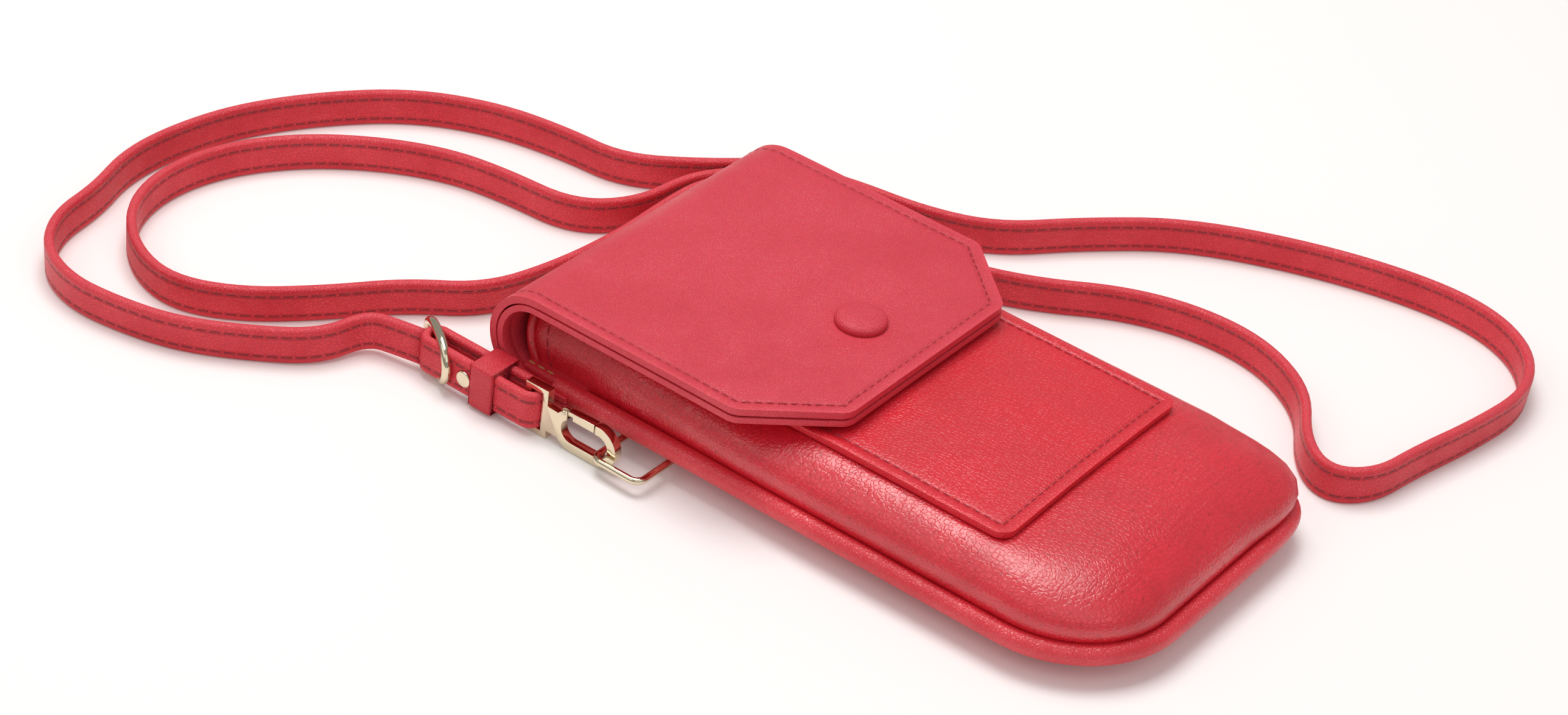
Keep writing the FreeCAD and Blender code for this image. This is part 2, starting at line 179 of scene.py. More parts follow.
def nodeCopy(node, name):
    piece = copyOf(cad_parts[node], name)
    tidyMesh(piece, False)
    return piece


rounding = {"flat": 2, "edge": 28, "shade": 40, "segments": 3}


def roundedCopy(node, name, width):
    piece = nodeCopy(node, name)
    pickAll(piece)
    bpy.ops.mesh.dissolve_limited(angle_limit=math.radians(rounding["flat"]))
    backToObject()
    roundRims(piece, width, rounding["segments"], rounding["edge"])
    smooth(piece, rounding["shade"])
    return piece


cameraView = {"place": (-0.5750, -0.33705, 0.4883), "azimuth": -56.9423, "elevation": 34.8793,
              "roll": 7.5345, "lens": 78.736, "sensor": 36, "nearest": 0.01}


def setCamera():
    az, el, roll = (math.radians(cameraView[k]) for k in ("azimuth", "elevation", "roll"))
    back = Vector((math.sin(az) * math.cos(el), -math.cos(az) * math.cos(el), math.sin(el)))
    right = zUp.cross(back).normalized()
    up = back.cross(right)
    across = math.cos(roll) * right + math.sin(roll) * up
    upward = -math.sin(roll) * right + math.cos(roll) * up
    clearSelection()
    bpy.ops.object.camera_add()
    camera = bpy.context.object
    camera.name = "photoCamera"
    turn = Matrix((across, upward, back)).transposed().to_4x4()
    camera.matrix_world = Matrix.Translation(cameraView["place"]) @ turn
    camera.data.sensor_fit = "HORIZONTAL"
    camera.data.sensor_width = cameraView["sensor"]
    camera.data.lens = cameraView["lens"]
    camera.data.clip_start = cameraView["nearest"]
    bpy.context.scene.camera = camera
    print("camera set")


setCamera()


# helpers for node trees
def newGroup(name, inputs, outputs):
    # an input without a value is a vector; the other inputs and the outputs are numbers
    group = bpy.data.node_groups.new(name, "ShaderNodeTree")
    for label, value in inputs.items():
        kind = "NodeSocketVector" if value is None else "NodeSocketFloat"
        socket = group.interface.new_socket(name=label, in_out="INPUT", socket_type=kind)
        if value is not None:
            socket.default_value = value
    for label in outputs:
        group.interface.new_socket(name=label, in_out="OUTPUT", socket_type="NodeSocketFloat")
    return group, group.nodes.new("NodeGroupInput").outputs, group.nodes.new("NodeGroupOutput").inputs


def addNode(tree, kind, inputs=None, **settings):
    # constants are set on the sockets and outputs of other nodes are linked
    node = tree.nodes.new(kind)
    for key, value in settings.items():
        setattr(node, key, value)
    for key, value in (inputs or {}).items():
        feed(tree, node.inputs[key], value)
    return node


def feed(tree, socket, value):
    if isinstance(value, (int, float, tuple)):
        socket.default_value = value
    else:
        tree.links.new(value, socket)


def mathNode(tree, operation, *values):
    return addNode(tree, "ShaderNodeMath", dict(enumerate(values)), operation=operation).outputs[0]


def product(tree, first, second):
    return mathNode(tree, "MULTIPLY", first, second)


def spread(tree, value, low, high, toLow=0.0, toHigh=1.0):
    ends = {"Value": value, "From Min": low, "From Max": high, "To Min": toLow, "To Max": toHigh}
    return addNode(tree, "ShaderNodeMapRange", ends, interpolation_type="SMOOTHSTEP").outputs["Result"]


def noiseNode(tree, vector, scale, detail=3.0, rough=0.5, distortion=0.0):
    look = {"Vector": vector, "Scale": scale, "Detail": detail, "Roughness": rough, "Distortion": distortion}
    return addNode(tree, "ShaderNodeTexNoise", look).outputs["Fac"]


grainLook = {"warpScale": 420.0, "warp": 0.0008, "crease": 0.22, "fineRate": 2.6, "fine": 0.35, "creaseDepth": 0.6,
             "foldScale": 160.0, "folds": 0.8, "stretch": (90.0, 620.0, 90.0), "stretchTurn": (0.0, 0.0, 0.18),
             "poreScale": 520.0, "poreReach": (0.08, 0.32), "poreShare": (0.15, 0.65),
             "toneScale": 55.0, "tone": (0.3, 0.72), "patchScale": 22.0, "patch": (0.35, 0.68)}


def makeGrainGroup():
    # pebbled leather: cells with creases between them, pores and slow changes of tone
    g = grainLook
    tree, start, end = newGroup("leatherGrain", {"Vector": None, "Cells": 900.0, "Pull": 0.0},
                                ("Height", "CreaseShade", "Tone", "Patch", "Pores"))
    vector, cells = start["Vector"], start["Cells"]
    warp = addNode(tree, "ShaderNodeTexNoise", {"Vector": vector, "Scale": g["warpScale"]})
    shift = addNode(tree, "ShaderNodeVectorMath", {0: warp.outputs["Color"], "Scale": g["warp"]}, operation="SCALE")
    moved = addNode(tree, "ShaderNodeVectorMath", {0: vector, 1: shift.outputs[0]}, operation="ADD").outputs[0]
    cell = addNode(tree, "ShaderNodeTexVoronoi", {"Vector": moved, "Scale": cells}, feature="DISTANCE_TO_EDGE")
    crease = spread(tree, cell.outputs["Distance"], 0.0, g["crease"], 1.0, 0.0)
    fine = noiseNode(tree, vector, product(tree, cells, g["fineRate"]), 2.0, 0.6)
    folds = noiseNode(tree, vector, g["foldScale"], 3.0, 0.55, 0.6)
    height = mathNode(tree, "SUBTRACT", product(tree, fine, g["fine"]), product(tree, crease, g["creaseDepth"]))
    height = mathNode(tree, "ADD", height, product(tree, folds, g["folds"]))
    stretch = addNode(tree, "ShaderNodeMapping", {"Vector": vector, "Scale": g["stretch"],
                                                  "Rotation": g["stretchTurn"]})
    pulled = noiseNode(tree, stretch.outputs["Vector"], 1.0, 3.0, 0.6, 0.4)
    dot = addNode(tree, "ShaderNodeTexVoronoi", {"Vector": moved, "Scale": g["poreScale"]}, feature="F1")
    pore = spread(tree, dot.outputs["Distance"], *g["poreReach"], 1.0, 0.0)
    results = {"Height": mathNode(tree, "ADD", height, product(tree, pulled, start["Pull"])), "CreaseShade": crease,
               "Tone": spread(tree, noiseNode(tree, vector, g["toneScale"], 4.0, 0.6), *g["tone"]),
               "Patch": spread(tree, noiseNode(tree, vector, g["patchScale"], 2.0, 0.5), *g["patch"]),
               "Pores": product(tree, pore, spread(tree, dot.outputs["Color"], *g["poreShare"]))}
    for label, value in results.items():
        tree.links.new(value, end[label])
    return tree


threadLook = {"stitch": (0.30, 0.40), "line": (0.35, 0.75), "groove": (0.6, 2.2)}


def makeThreadGroup():
    # one row of sewn thread: Along and Across are lengths, Across is counted from the row
    tree, start, end = newGroup("threadRow", {"Along": 0.0, "Across": 0.0, "Pitch": 0.0032, "Width": 0.0005},
                                ("Thread", "Groove"))
    step = mathNode(tree, "FRACT", mathNode(tree, "DIVIDE", start["Along"], start["Pitch"]))
    reach = mathNode(tree, "ABSOLUTE", mathNode(tree, "SUBTRACT", step, 0.5))
    off = mathNode(tree, "DIVIDE", mathNode(tree, "ABSOLUTE", start["Across"]), start["Width"])
    stitched = spread(tree, reach, *threadLook["stitch"], 1.0, 0.0)
    line = spread(tree, off, *threadLook["line"], 1.0, 0.0)
    tree.links.new(product(tree, stitched, line), end["Thread"])
    tree.links.new(spread(tree, off, *threadLook["groove"], 1.0, 0.0), end["Groove"])
    return tree


grainGroup = makeGrainGroup()
threadGroup = makeThreadGroup()


# helpers for materials
def newMaterial(name):
    material = bpy.data.materials.new(name)
    material.use_nodes = True
    tree = material.node_tree
    return material, tree, tree.nodes["Principled BSDF"]


def useGroup(tree, group, inputs):
    return addNode(tree, "ShaderNodeGroup", inputs, node_tree=group).outputs


def objectPlace(tree):
    return addNode(tree, "ShaderNodeTexCoord").outputs["Object"]


def separate(tree, vector):
    parts = addNode(tree, "ShaderNodeSeparateXYZ", {0: vector})
    return parts.outputs["X"], parts.outputs["Y"]


def blendColour(tree, amount, first, second):
    a, b = (c + (1.0,) if isinstance(c, tuple) else c for c in (first, second))
    return addNode(tree, "ShaderNodeMix", {"Factor": amount, 6: a, 7: b}, data_type="RGBA").outputs[2]


def tint(tree, colour, other, amount, share):
    return blendColour(tree, product(tree, amount, share), colour, other)


def finishShader(tree, shader, colour, rough, height, depth, strength=1.0):
    feed(tree, shader.inputs["Base Color"], colour)
    feed(tree, shader.inputs["Roughness"], rough)
    bump = addNode(tree, "ShaderNodeBump", {"Strength": strength, "Distance": depth, "Height": height})
    tree.links.new(bump.outputs["Normal"], shader.inputs["Normal"])


leatherKinds = {
    "flapLeather": {"light": (0.76, 0.052, 0.080), "dark": (0.68, 0.034, 0.058), "cells": 1500.0,
                    "rough": (0.38, 0.50), "gloss": 0.5, "depth": 0.00010, "creaseTone": 0.08,
                    "pull": 0.5, "pores": 0.05, "rim": True},
    "bodyLeather": {"light": (0.82, 0.022, 0.042), "dark": (0.68, 0.010, 0.024), "cells": 820.0,
                    "rough": (0.25, 0.37), "gloss": 0.95, "depth": 0.00007, "creaseTone": 0.26,
                    "pull": 3.0, "pores": 0.55, "rim": False},
    "pocketLeather": {"light": (0.80, 0.020, 0.038), "dark": (0.68, 0.010, 0.023), "cells": 950.0,
                      "rough": (0.29, 0.42), "gloss": 0.7, "depth": 0.00008, "creaseTone": 0.18,
                      "pull": 2.2, "pores": 0.26, "rim": True},
    "pipingLeather": {"light": (0.88, 0.042, 0.062), "dark": (0.74, 0.018, 0.034), "cells": 1100.0,
                      "rough": (0.30, 0.42), "gloss": 0.8, "depth": 0.00012, "creaseTone": 0.18,
                      "pull": 0.6, "pores": 0.15, "rim": False},
    "hemLeather": {"light": (0.74, 0.034, 0.054), "dark": (0.60, 0.015, 0.030), "cells": 1300.0,
                   "rough": (0.42, 0.54), "gloss": 0.5, "depth": 0.00012, "creaseTone": 0.15,
                   "pull": 0.4, "pores": 0.08, "rim": False},
}
# pieces with a rim carry their distance from it as an attribute: a painted highlight makes them paler at the rim, and
# at the seam they are sunk and darkened with painted shade
rimLook = {"worn": (0.0002, 0.0016), "wornShare": 0.35, "pale": (1.16, 0.01), "seam": 0.0032, "seamReach": 0.0012,
           "seamTone": 0.22, "seamDepth": 1.6, "deep": 0.55, "patch": 0.35}


def makeLeather(name):
    kind, look = leatherKinds[name], rimLook
    material, tree, shader = newMaterial(name)
    grain = useGroup(tree, grainGroup, {"Vector": objectPlace(tree), "Cells": kind["cells"], "Pull": kind["pull"]})
    deep = tuple(c * look["deep"] for c in kind["dark"])
    colour = blendColour(tree, grain["Tone"], kind["dark"], kind["light"])
    colour = tint(tree, colour, kind["light"], grain["Patch"], look["patch"])
    # painted shade: the grain's creases are darkened
    colour = tint(tree, colour, deep, grain["CreaseShade"], kind["creaseTone"])
    colour = tint(tree, colour, deep, grain["Pores"], kind["pores"])
    height = grain["Height"]
    if kind["rim"]:
        rim = addNode(tree, "ShaderNodeAttribute", attribute_name="rimDistance").outputs["Fac"]
        # painted highlight: the colour turns paler along the turned rim
        worn = spread(tree, rim, *look["worn"], look["wornShare"], 0.0)
        pale = tuple(min(1.0, c * look["pale"][0] + look["pale"][1]) for c in kind["light"])
        colour = blendColour(tree, worn, colour, pale)
        # painted shade in the seam's groove: darker colour there, besides the bump that sinks it
        seamLine = mathNode(tree, "ABSOLUTE", mathNode(tree, "SUBTRACT", rim, look["seam"]))
        sunk = spread(tree, seamLine, 0.0, look["seamReach"], 1.0, 0.0)
        colour = tint(tree, colour, deep, sunk, look["seamTone"])
        height = mathNode(tree, "SUBTRACT", height, product(tree, sunk, look["seamDepth"]))
    low, high = kind["rough"]
    shader.inputs["Specular IOR Level"].default_value = kind["gloss"]
    finishShader(tree, shader, colour, spread(tree, grain["Tone"], 0.0, 1.0, high, low), height, kind["depth"])
    return material


leathers = {name: makeLeather(name) for name in leatherKinds}

strapLook = {"light": (0.92, 0.048, 0.072), "dark": (0.80, 0.028, 0.048), "thread": (0.36, 0.012, 0.024),
             "edge": (0.80, 0.075, 0.098), "row": 0.0029, "pitch": 0.0034, "threadWidth": 0.00036,
             "cells": 1250.0, "deep": 0.5, "crease": 0.3, "lip": (0.0041, 0.0050), "lipShare": 0.6, "groove": 0.3,
             "rough": (0.38, 0.52), "grooveDepth": 1.8, "threadRise": 2.4, "depth": 0.00016}


def makeStrapLeather():
    s = strapLook
    material, tree, shader = newMaterial("strapLeather")
    along, across = separate(tree, addNode(tree, "ShaderNodeUVMap", uv_map="strapUv").outputs["UV"])
    off = mathNode(tree, "ABSOLUTE", across)
    grain = useGroup(tree, grainGroup, {"Vector": objectPlace(tree), "Cells": s["cells"]})
    thread = useGroup(tree, threadGroup, {"Along": along, "Across": mathNode(tree, "SUBTRACT", off, s["row"]),
                                          "Pitch": s["pitch"], "Width": s["threadWidth"]})
    deep = tuple(c * s["deep"] for c in s["dark"])
    colour = blendColour(tree, grain["Tone"], s["dark"], s["light"])
    # painted shade: the grain's creases are darkened
    colour = tint(tree, colour, deep, grain["CreaseShade"], s["crease"])
    # painted highlight: paler along the band's rounded top and bottom edges
    colour = tint(tree, colour, s["edge"], spread(tree, off, *s["lip"]), s["lipShare"])
    # painted shade in the stitch grooves, besides their bump
    colour = tint(tree, colour, deep, thread["Groove"], s["groove"])
    colour = blendColour(tree, thread["Thread"], colour, s["thread"])
    height = mathNode(tree, "SUBTRACT", grain["Height"], product(tree, thread["Groove"], s["grooveDepth"]))
    height = mathNode(tree, "ADD", height, product(tree, thread["Thread"], s["threadRise"]))
    low, high = s["rough"]
    finishShader(tree, shader, colour, spread(tree, grain["Tone"], 0.0, 1.0, high, low), height, s["depth"])
    return material


def makeThread(name, light, dark):
    material, tree, shader = newMaterial(name)
    twist = noiseNode(tree, objectPlace(tree), 2600.0, 2.0, 0.6)
    finishShader(tree, shader, blendColour(tree, twist, dark, light), 0.62, twist, 0.00012)
    return material


def makeMetal(name, colour, shade, rough):
    # plating with faint hairlines and finger marks
    material, tree, shader = newMaterial(name)
    place = objectPlace(tree)
    mark = noiseNode(tree, place, 240.0, 4.0, 0.6)
    hairline = noiseNode(tree, place, 2600.0, 2.0, 0.5)
    shader.inputs["Metallic"].default_value = 1.0
    finishShader(tree, shader, blendColour(tree, mark, shade, colour),
                 spread(tree, mark, 0.3, 0.75, rough * 0.75, rough * 1.5), hairline, 0.00002, 0.5)
    return material


cloth = {"dark": (0.16, 0.012, 0.020), "light": (0.26, 0.022, 0.032), "gaps": (0.10, 0.008, 0.012), "threads": 7800.0}
board = {"dark": (0.34, 0.28, 0.22), "light": (0.55, 0.48, 0.40)}


def makeLiningCloth():
    material, tree, shader = newMaterial("liningCloth")
    place = objectPlace(tree)
    warp, weft = (mathNode(tree, "SINE", product(tree, part, cloth["threads"])) for part in separate(tree, place))
    weave = product(tree, warp, weft)
    colour = blendColour(tree, noiseNode(tree, place, 90.0, 3.0, 0.6), cloth["dark"], cloth["light"])
    colour = blendColour(tree, spread(tree, weave, -1.0, 1.0, 0.0, 0.4), colour, cloth["gaps"])
    shader.inputs["Sheen Weight"].default_value = 0.25
    finishShader(tree, shader, colour, 0.85, weave, 0.00006)
    return material


def makeBoard():
    material, tree, shader = newMaterial("fibreBoard")
    flecks = noiseNode(tree, objectPlace(tree), 900.0, 4.0, 0.65)
    finishShader(tree, shader, blendColour(tree, flecks, board["dark"], board["light"]), 0.9, flecks, 0.0001)
    return material


strapLeather = makeStrapLeather()
redThread = makeThread("redThread", (0.44, 0.016, 0.032), (0.28, 0.008, 0.018))
goldThread = makeThread("goldThread", (0.62, 0.40, 0.14), (0.40, 0.22, 0.06))
paleGold = makeMetal("paleGold", (0.82, 0.72, 0.54), (0.72, 0.61, 0.43), 0.09)
snapSteel = makeMetal("snapSteel", (0.78, 0.75, 0.69), (0.66, 0.62, 0.56), 0.24)
liningCloth = makeLiningCloth()
fibreBoard = makeBoard()
print("materials made:", len(bpy.data.materials))


strap = {"width": 10 * mm, "thick": 2.6 * mm, "rest": 5 * mm, "raised": 6.9 * mm, "lean": 0.10, "ease": 2.5,
         "corner": 0.42}
# the strap's course on the surface in millimetres, from the slider to the far hook
strapRoute = [
    (-56.6, 104.0), (-58, 111.0), (-59.5, 119.5), (-72.5, 122.5), (-83, 135), (-93, 150.3), (-97.4, 166), (-99, 181),
    (-94, 195), (-82, 204), (-66, 206.5), (-50.5, 212.6), (-33, 213), (-13, 209), (7.5, 198.5),
    (26.5, 183.5), (38, 163.2), (42.2, 142.4), (43, 124), (56, 108.5), (72, 94), (78.5, 74), (81.5, 53),
    (89.6, 34.6), (109, 20), (130, 0), (145.6, -32), (153, -61), (152, -81), (142.4, -95.8),
    (126, -102.6), (104.3, -99.6), (84.3, -94.8), (67.6, -92.2), (59.5, -83), (67, -72), (85, -62.3),
    (95.5, -44.5), (96, -24.4), (89, -5), (76, 12), (67, 31), (69, 44), (73, 58), (74.5, 74),
    (70, 88), (60, 99), (48, 106), (30, 107), (16, 118), (14.8, 139.6), (11.4, 156.3), (2, 173),
    (-12, 188), (-30, 198.3), (-49, 200.6), (-66, 194.8), (-78, 181), (-82, 164.4), (-73.5, 148.5),
    (-58, 135), (-41.5, 123.6), (-28.8, 108.6), (-8, 103), (14, 101), (34, 102), (47, 101.5),
    (54.4, 96.5), (55.2, 86.3)]


def strapLine():
    # the smooth line that the strap follows, read from its spline and raised at both ends
    curve = bpy.data.curves.new("strapLine", "CURVE")
    curve.dimensions = "3D"
    spline = curve.splines.new("NURBS")
    last = len(strapRoute) - 1
    spline.points.add(last)
    for i, (x, y) in enumerate(strapRoute):
        raised = max(min(1, 1.4 - i / strap["ease"]), 1 - (last - i) / strap["ease"], 0)
        z = strap["rest"] + (strap["raised"] - strap["rest"]) * raised
        spline.points[i].co = (x * mm, y * mm, z, 1)
    spline.order_u = 3
    spline.use_endpoint_u = True
    spline.resolution_u = 6
    holder = bpy.data.objects.new("strapLine", curve)
    bpy.context.scene.collection.objects.link(holder)
    bpy.context.view_layer.update()
    drawn = bpy.data.meshes.new_from_object(holder)
    points = [v.co.copy() for v in drawn.vertices]
    bpy.data.objects.remove(holder)
    bpy.data.meshes.remove(drawn)
    return points


def bandSection(width, thick):
    # rounded band, seen along its course, as (sideways, upwards)
    half, side, r = width / 2, thick / 2, thick * strap["corner"]
    corners = []
    for cx, cz, start in ((side - r, half - r, 0), (r - side, half - r, 90), (r - side, r - half, 180),
                          (side - r, r - half, 270)):
        for k in range(4):
            a = math.radians(start + 30 * k)
            corners.append((cx + r * math.cos(a), cz + r * math.sin(a)))
    levels = (0.5, 0.25, 0, -0.25, -0.5)
    left = [(-side, half * k) for k in levels]
    right = [(side, -half * k) for k in levels]
    return corners[0:8] + left + corners[8:16] + right


def layBand(name, points, thick, lean, closed=False, part=None):
    # part is the stretch of the points that this piece takes
    section = bandSection(strap["width"], thick)
    n, count = len(section), len(points)
    first, last = part or (0, count - 1)
    rings, along, run = [], [], 0.0
    for i, here in enumerate(points):
        ahead = points[(i + 1) % count] if closed else points[min(i + 1, count - 1)]
        behind = points[i - 1] if closed or i else points[0]
        run += (here - points[i - 1]).length if i else 0.0
        along.append(run)
        forward = (ahead - behind).normalized()
        sideways = forward.cross(zUp).normalized()
        tilt = lean * noise.noise(Vector((run * 14, 3.1, 0.7)))
        up = (zUp - forward * forward.z).normalized()
        across = sideways * math.cos(tilt) + up * math.sin(tilt)
        rise = up * math.cos(tilt) - sideways * math.sin(tilt)
        rings.append([here + across * a + rise * b for a, b in section])
    faces, places = [], []
    for i in range(first, count if closed else last):
        j = (i + 1) % count
        end = along[j] if j else along[-1] + (points[0] - points[-1]).length
        here, there = (i - first) * n, (j - first) * n
        for k in range(n):
            m = (k + 1) % n
            faces.append([here + k, here + m, there + m, there + k])
            places.append([(along[i], section[k][1]), (along[i], section[m][1]), (end, section[m][1]),
                           (end, section[k][1])])
    for i in (0, count - 1):
        if not closed and first <= i <= last:
            faces.append([(i - first) * n + k for k in (range(n) if i else range(n - 1, -1, -1))])
            places.append([(along[i], section[k][1]) for k in range(n)])
    mesh = bpy.data.meshes.new(name)
    mesh.from_pydata([co for ring in rings[first:last + 1] for co in ring], [], faces)
    layer = mesh.uv_layers.new(name="strapUv")
    layer.data.foreach_set("uv", [c for face in places for uv in face for c in uv])
    piece = bpy.data.objects.new(name, mesh)
    bpy.context.scene.collection.objects.link(piece)
    tidyMesh(piece)
    smooth(piece)
    wear(piece, strapLeather)
    return piece


def pathLength(points):
    return sum((b - a).length for a, b in zip(points, points[1:]))


strapPoints = strapLine()
# the strap's stretches at its ends, by the hooks: name, bodies, and where it passes from one to the other
strapLeads = {"strapNearTip": ("hook_near", "ring_near", (-57, 106, 5), (-57, 146, 5)),
              "strapNearRun": ("ring_near", "pouch", (-90, 152, 5), (-90, 202, 5)),
              "strapFarRun": ("pouch", "ring_far", (20, 102, 5), (36, 102, 5)),
              "strapFarTip": ("ring_far", "hook_far", (39, 102, 5), (54, 102, 5))}
strapCuts = {"stretch": 62.5 * mm, "far": (17 * mm, 37.5 * mm)}


def strapSplits():
    # where the strap is split: two short stretches at each end
    along = [0.0]
    for a, b in zip(strapPoints, strapPoints[1:]):
        along.append(along[-1] + (b - a).length)
    near, rest = (next(i for i, place in enumerate(along) if place >= goal)
                  for goal in (strapCuts["stretch"], 2 * strapCuts["stretch"]))
    leave, far = (max(i for i, p in enumerate(strapPoints) if p.x < x) for x in strapCuts["far"])
    return {"strapNearTip": (0, near), "strapNearRun": (near, rest), "strapBand": (rest, leave),
            "strapFarRun": (leave, far), "strapFarTip": (far, len(strapPoints) - 1)}


strapParts = strapSplits()
for name, part in strapParts.items():
    piece = layBand(name, strapPoints, strap["thick"], strap["lean"], part=part)
    if name in strapLeads:
        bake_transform(piece)
    else:
        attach(piece, "pouch")
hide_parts(*["strap_run_%d" % i for i in range(1, 6)])
print("strap laid: %.3f m" % pathLength(strapPoints))

loops = {"inner": 1.6 * mm, "low": 1.9 * mm, "hookSide": 55.2 * mm, "bar": 70.8 * mm,
         "slider": 100.65 * mm, "farEnd": 82.0 * mm, "thin": 0.92}


def makeLoop(name, side, end, rider, node):
    # a strap loop round two bars, standing on its edge
    clearSelection()
    bpy.ops.mesh.primitive_circle_add(vertices=32, radius=loops["inner"] + strap["thick"] / 2, location=origin)
    ring = newest(name + "Ring")
    pick(ring, "VERT", lambda co: co.y > tiny)
    bpy.ops.transform.translate(value=(0, end - loops["bar"], 0))
    pickAll(ring)
    bpy.ops.transform.translate(value=(side * loops["hookSide"], loops["bar"], loops["low"] + strap["width"] / 2))
    backToObject()
    points = [v.co.copy() for v in ring.data.vertices]
    bpy.data.objects.remove(ring)
    loop = layBand(name, points, strap["thick"] * loops["thin"], 0.0, True)
    return settle(loop, strapLeather, rider, "strap_leather", node)


onStrap = [makeLoop("strapLoopNear", -1, loops["slider"], "hook_near", "strap_loop_near"),
           makeLoop("strapLoopFar", 1, loops["farEnd"], "hook_far", "strap_loop_far")]
print("strap loops made")

body = {"halfWidth": 43.8 * mm, "foot": -84.15 * mm, "mouth": 83.2 * mm, "seam": 7.9 * mm, "top": 22.6 * mm,
        "cornerRadius": 25.2 * mm, "sideInset": 10.4 * mm, "toeInset": 18.0 * mm, "leather": 1.8 * mm,
        "sideRound": 2.5, "toeRound": 2.2, "wallSteps": 16, "topSteps": 9, "topStep": 3.6 * mm, "crown": 1.0 * mm,
        "crownLow": 12 * mm, "crownReach": 9.5 * mm, "slow": 0.00035, "fine": 0.00016,
        "swellNear": 3.0 * mm, "swellFar": 5.4 * mm, "swellToe": 3.0 * mm, "bellyPower": 0.9, "swellPower": 1.4,
        "squareness": 3.8, "squareOut": 2.7 * mm, "lean": 5.2 * mm, "leanFrom": 56 * mm, "roll": 1.15 * mm}
backHalf = {"inset": 10.8 * mm, "endInset": 13.0 * mm, "top": 64.55 * mm, "crownRadius": 9.0 * mm, "steps": 8,
            "flatSteps": 7, "flatStep": 4 * mm}


def outlineLoop(name, half, foot, head, radius, headRadius):
    # rounded outline of one half of the body as a chain of edges
    clearSelection()
    bpy.ops.mesh.primitive_plane_add(size=1, location=origin)
    piece = newest(name)
    pickAll(piece)
    bpy.ops.transform.resize(value=(2 * half, head - foot, 1), center_override=origin)
    bpy.ops.transform.translate(value=(0, (head + foot) / 2, body["seam"]))
    pick(piece, "VERT", lambda co: co.y < foot + hair)
    bpy.ops.mesh.bevel(offset=radius, offset_type="OFFSET", segments=14, affect="VERTICES", profile=0.5)
    if headRadius:
        pick(piece, "VERT", lambda co: co.y > head - hair)
        bpy.ops.mesh.bevel(offset=headRadius, offset_type="OFFSET", segments=8, affect="VERTICES", profile=0.5)
    pickAll(piece, "FACE")
    bpy.ops.mesh.delete(type="ONLY_FACE")
    pick(piece, "EDGE", lambda a, b: (a - b).length > 0.02)
    bpy.ops.mesh.subdivide(number_cuts=39)
    backToObject()
    return piece


def roundShare(share, power):
    # inset of a rounded shoulder at a share of its height
    return 1 - (1 - share ** power) ** (1 / power)


def pullRing(centre, old, new):
    # one more ring of the loft: old and new are (half width, foot, height)
    pullEdges(0, 0, new[2] - old[2])
    bpy.ops.transform.resize(value=(new[0] / old[0], (centre - new[1]) / (centre - old[1]), 1),
                             center_override=(0, centre, 0))
    return new


def pullFlat(centre, old, steps, step):
    # rings towards the middle of the flat face, which a last face closes
    for _ in range(steps):
        old = pullRing(centre, old, (old[0] - step, old[1] + step, old[2]))
    bpy.ops.mesh.edge_face_add()
    bpy.ops.mesh.quads_convert_to_tris()


def wallShare(co):
    return clamp((co.z - body["seam"]) / (body["top"] - body["seam"]))


def frontSoft(co):
    # crown of the front, fuller towards its foot, and slow unevenness of the leather
    high = clamp((co.z - body["crownLow"]) / body["crownReach"])
    x = co.x / body["halfWidth"]
    y = (co.y - body["foot"]) / (body["mouth"] - body["foot"])
    dome = max(0.0, 1 - x * x) * max(0.0, 1 - abs(2 * y - 0.75) ** 3)
    slow = noise.noise(Vector((co.x * 32, co.y * 26, 1.3)))
    fine = noise.noise(Vector((co.x * 75, co.y * 60, 5.2)))
    co.z += high * (body["crown"] * dome + body["slow"] * slow + body["fine"] * fine)
    return co


def belly(share):
    return math.sin(math.pi * share) ** body["bellyPower"]


def frontSwell(co):
    # the walls belly out between seam and shoulder, most on the far side and less towards the mouth
    hold = 1 - 0.85 * clamp((co.y - 0.015) / 0.055)
    bend = body["cornerRadius"]
    out = Vector((co.x - math.copysign(body["halfWidth"] - bend, co.x), min(0.0, co.y - (body["foot"] + bend))))
    if abs(co.x) < body["halfWidth"] - bend:
        out.x = 0.0
    if out.length < mm:
        return co
    out.normalize()
    side = body["swellNear"] if co.x < 0 else body["swellFar"]
    power = body["swellPower"]
    much = (side * abs(out.x) ** power + body["swellToe"] * abs(out.y) ** power) * hold * belly(wallShare(co))
    co.x += out.x * much
    co.y += out.y * much
    return co


def squareFar(co):
    # the far lower corner keeps its shape better than the near one
    out = body["squareOut"]
    bend = body["cornerRadius"] + out
    x, y = co.x - (body["halfWidth"] + out - bend), co.y - (body["foot"] - out + bend)
    if x <= 0 or y >= 0:
        return co
    r = math.hypot(x, y)
    n = body["squareness"]
    share = 1 / ((x / r) ** n + (-y / r) ** n) ** (1 / n)
    co.x += x * (share - 1)
    co.y += y * (share - 1)
    return co


def mouthPlace(share):
    # the mouth leans back towards the seam, clear of the fold
    return body["mouth"] - body["lean"] * (1 - share) ** 1.5


def mouthLean(co):
    reach = max(0.0, (co.y - body["leanFrom"]) / (body["mouth"] - body["leanFrom"]))
    co.y -= reach * (body["mouth"] - mouthPlace(wallShare(co)))
    return co


def rollEdge(piece, border, name):
    # a turned edge: the border is copied off and thickened to a round roll
    pick(piece, "EDGE", lambda a, b: a in border and b in border, True)
    bpy.ops.mesh.duplicate()
    bpy.ops.mesh.separate(type="SELECTED")
    backToObject()
    roll = [other for other in bpy.context.selected_objects if other != piece][0]
    takeUp(roll)
    bpy.ops.object.convert(target="CURVE")
    roll.data.bevel_depth = body["roll"]
    roll.data.bevel_resolution = 4
    roll.data.use_fill_caps = True
    bpy.ops.object.convert(target="MESH")
    roll = newest(name)
    tidyMesh(roll)
    smooth(roll, 60)
    settle(roll, leathers["bodyLeather"], "pouch", "body_leather")


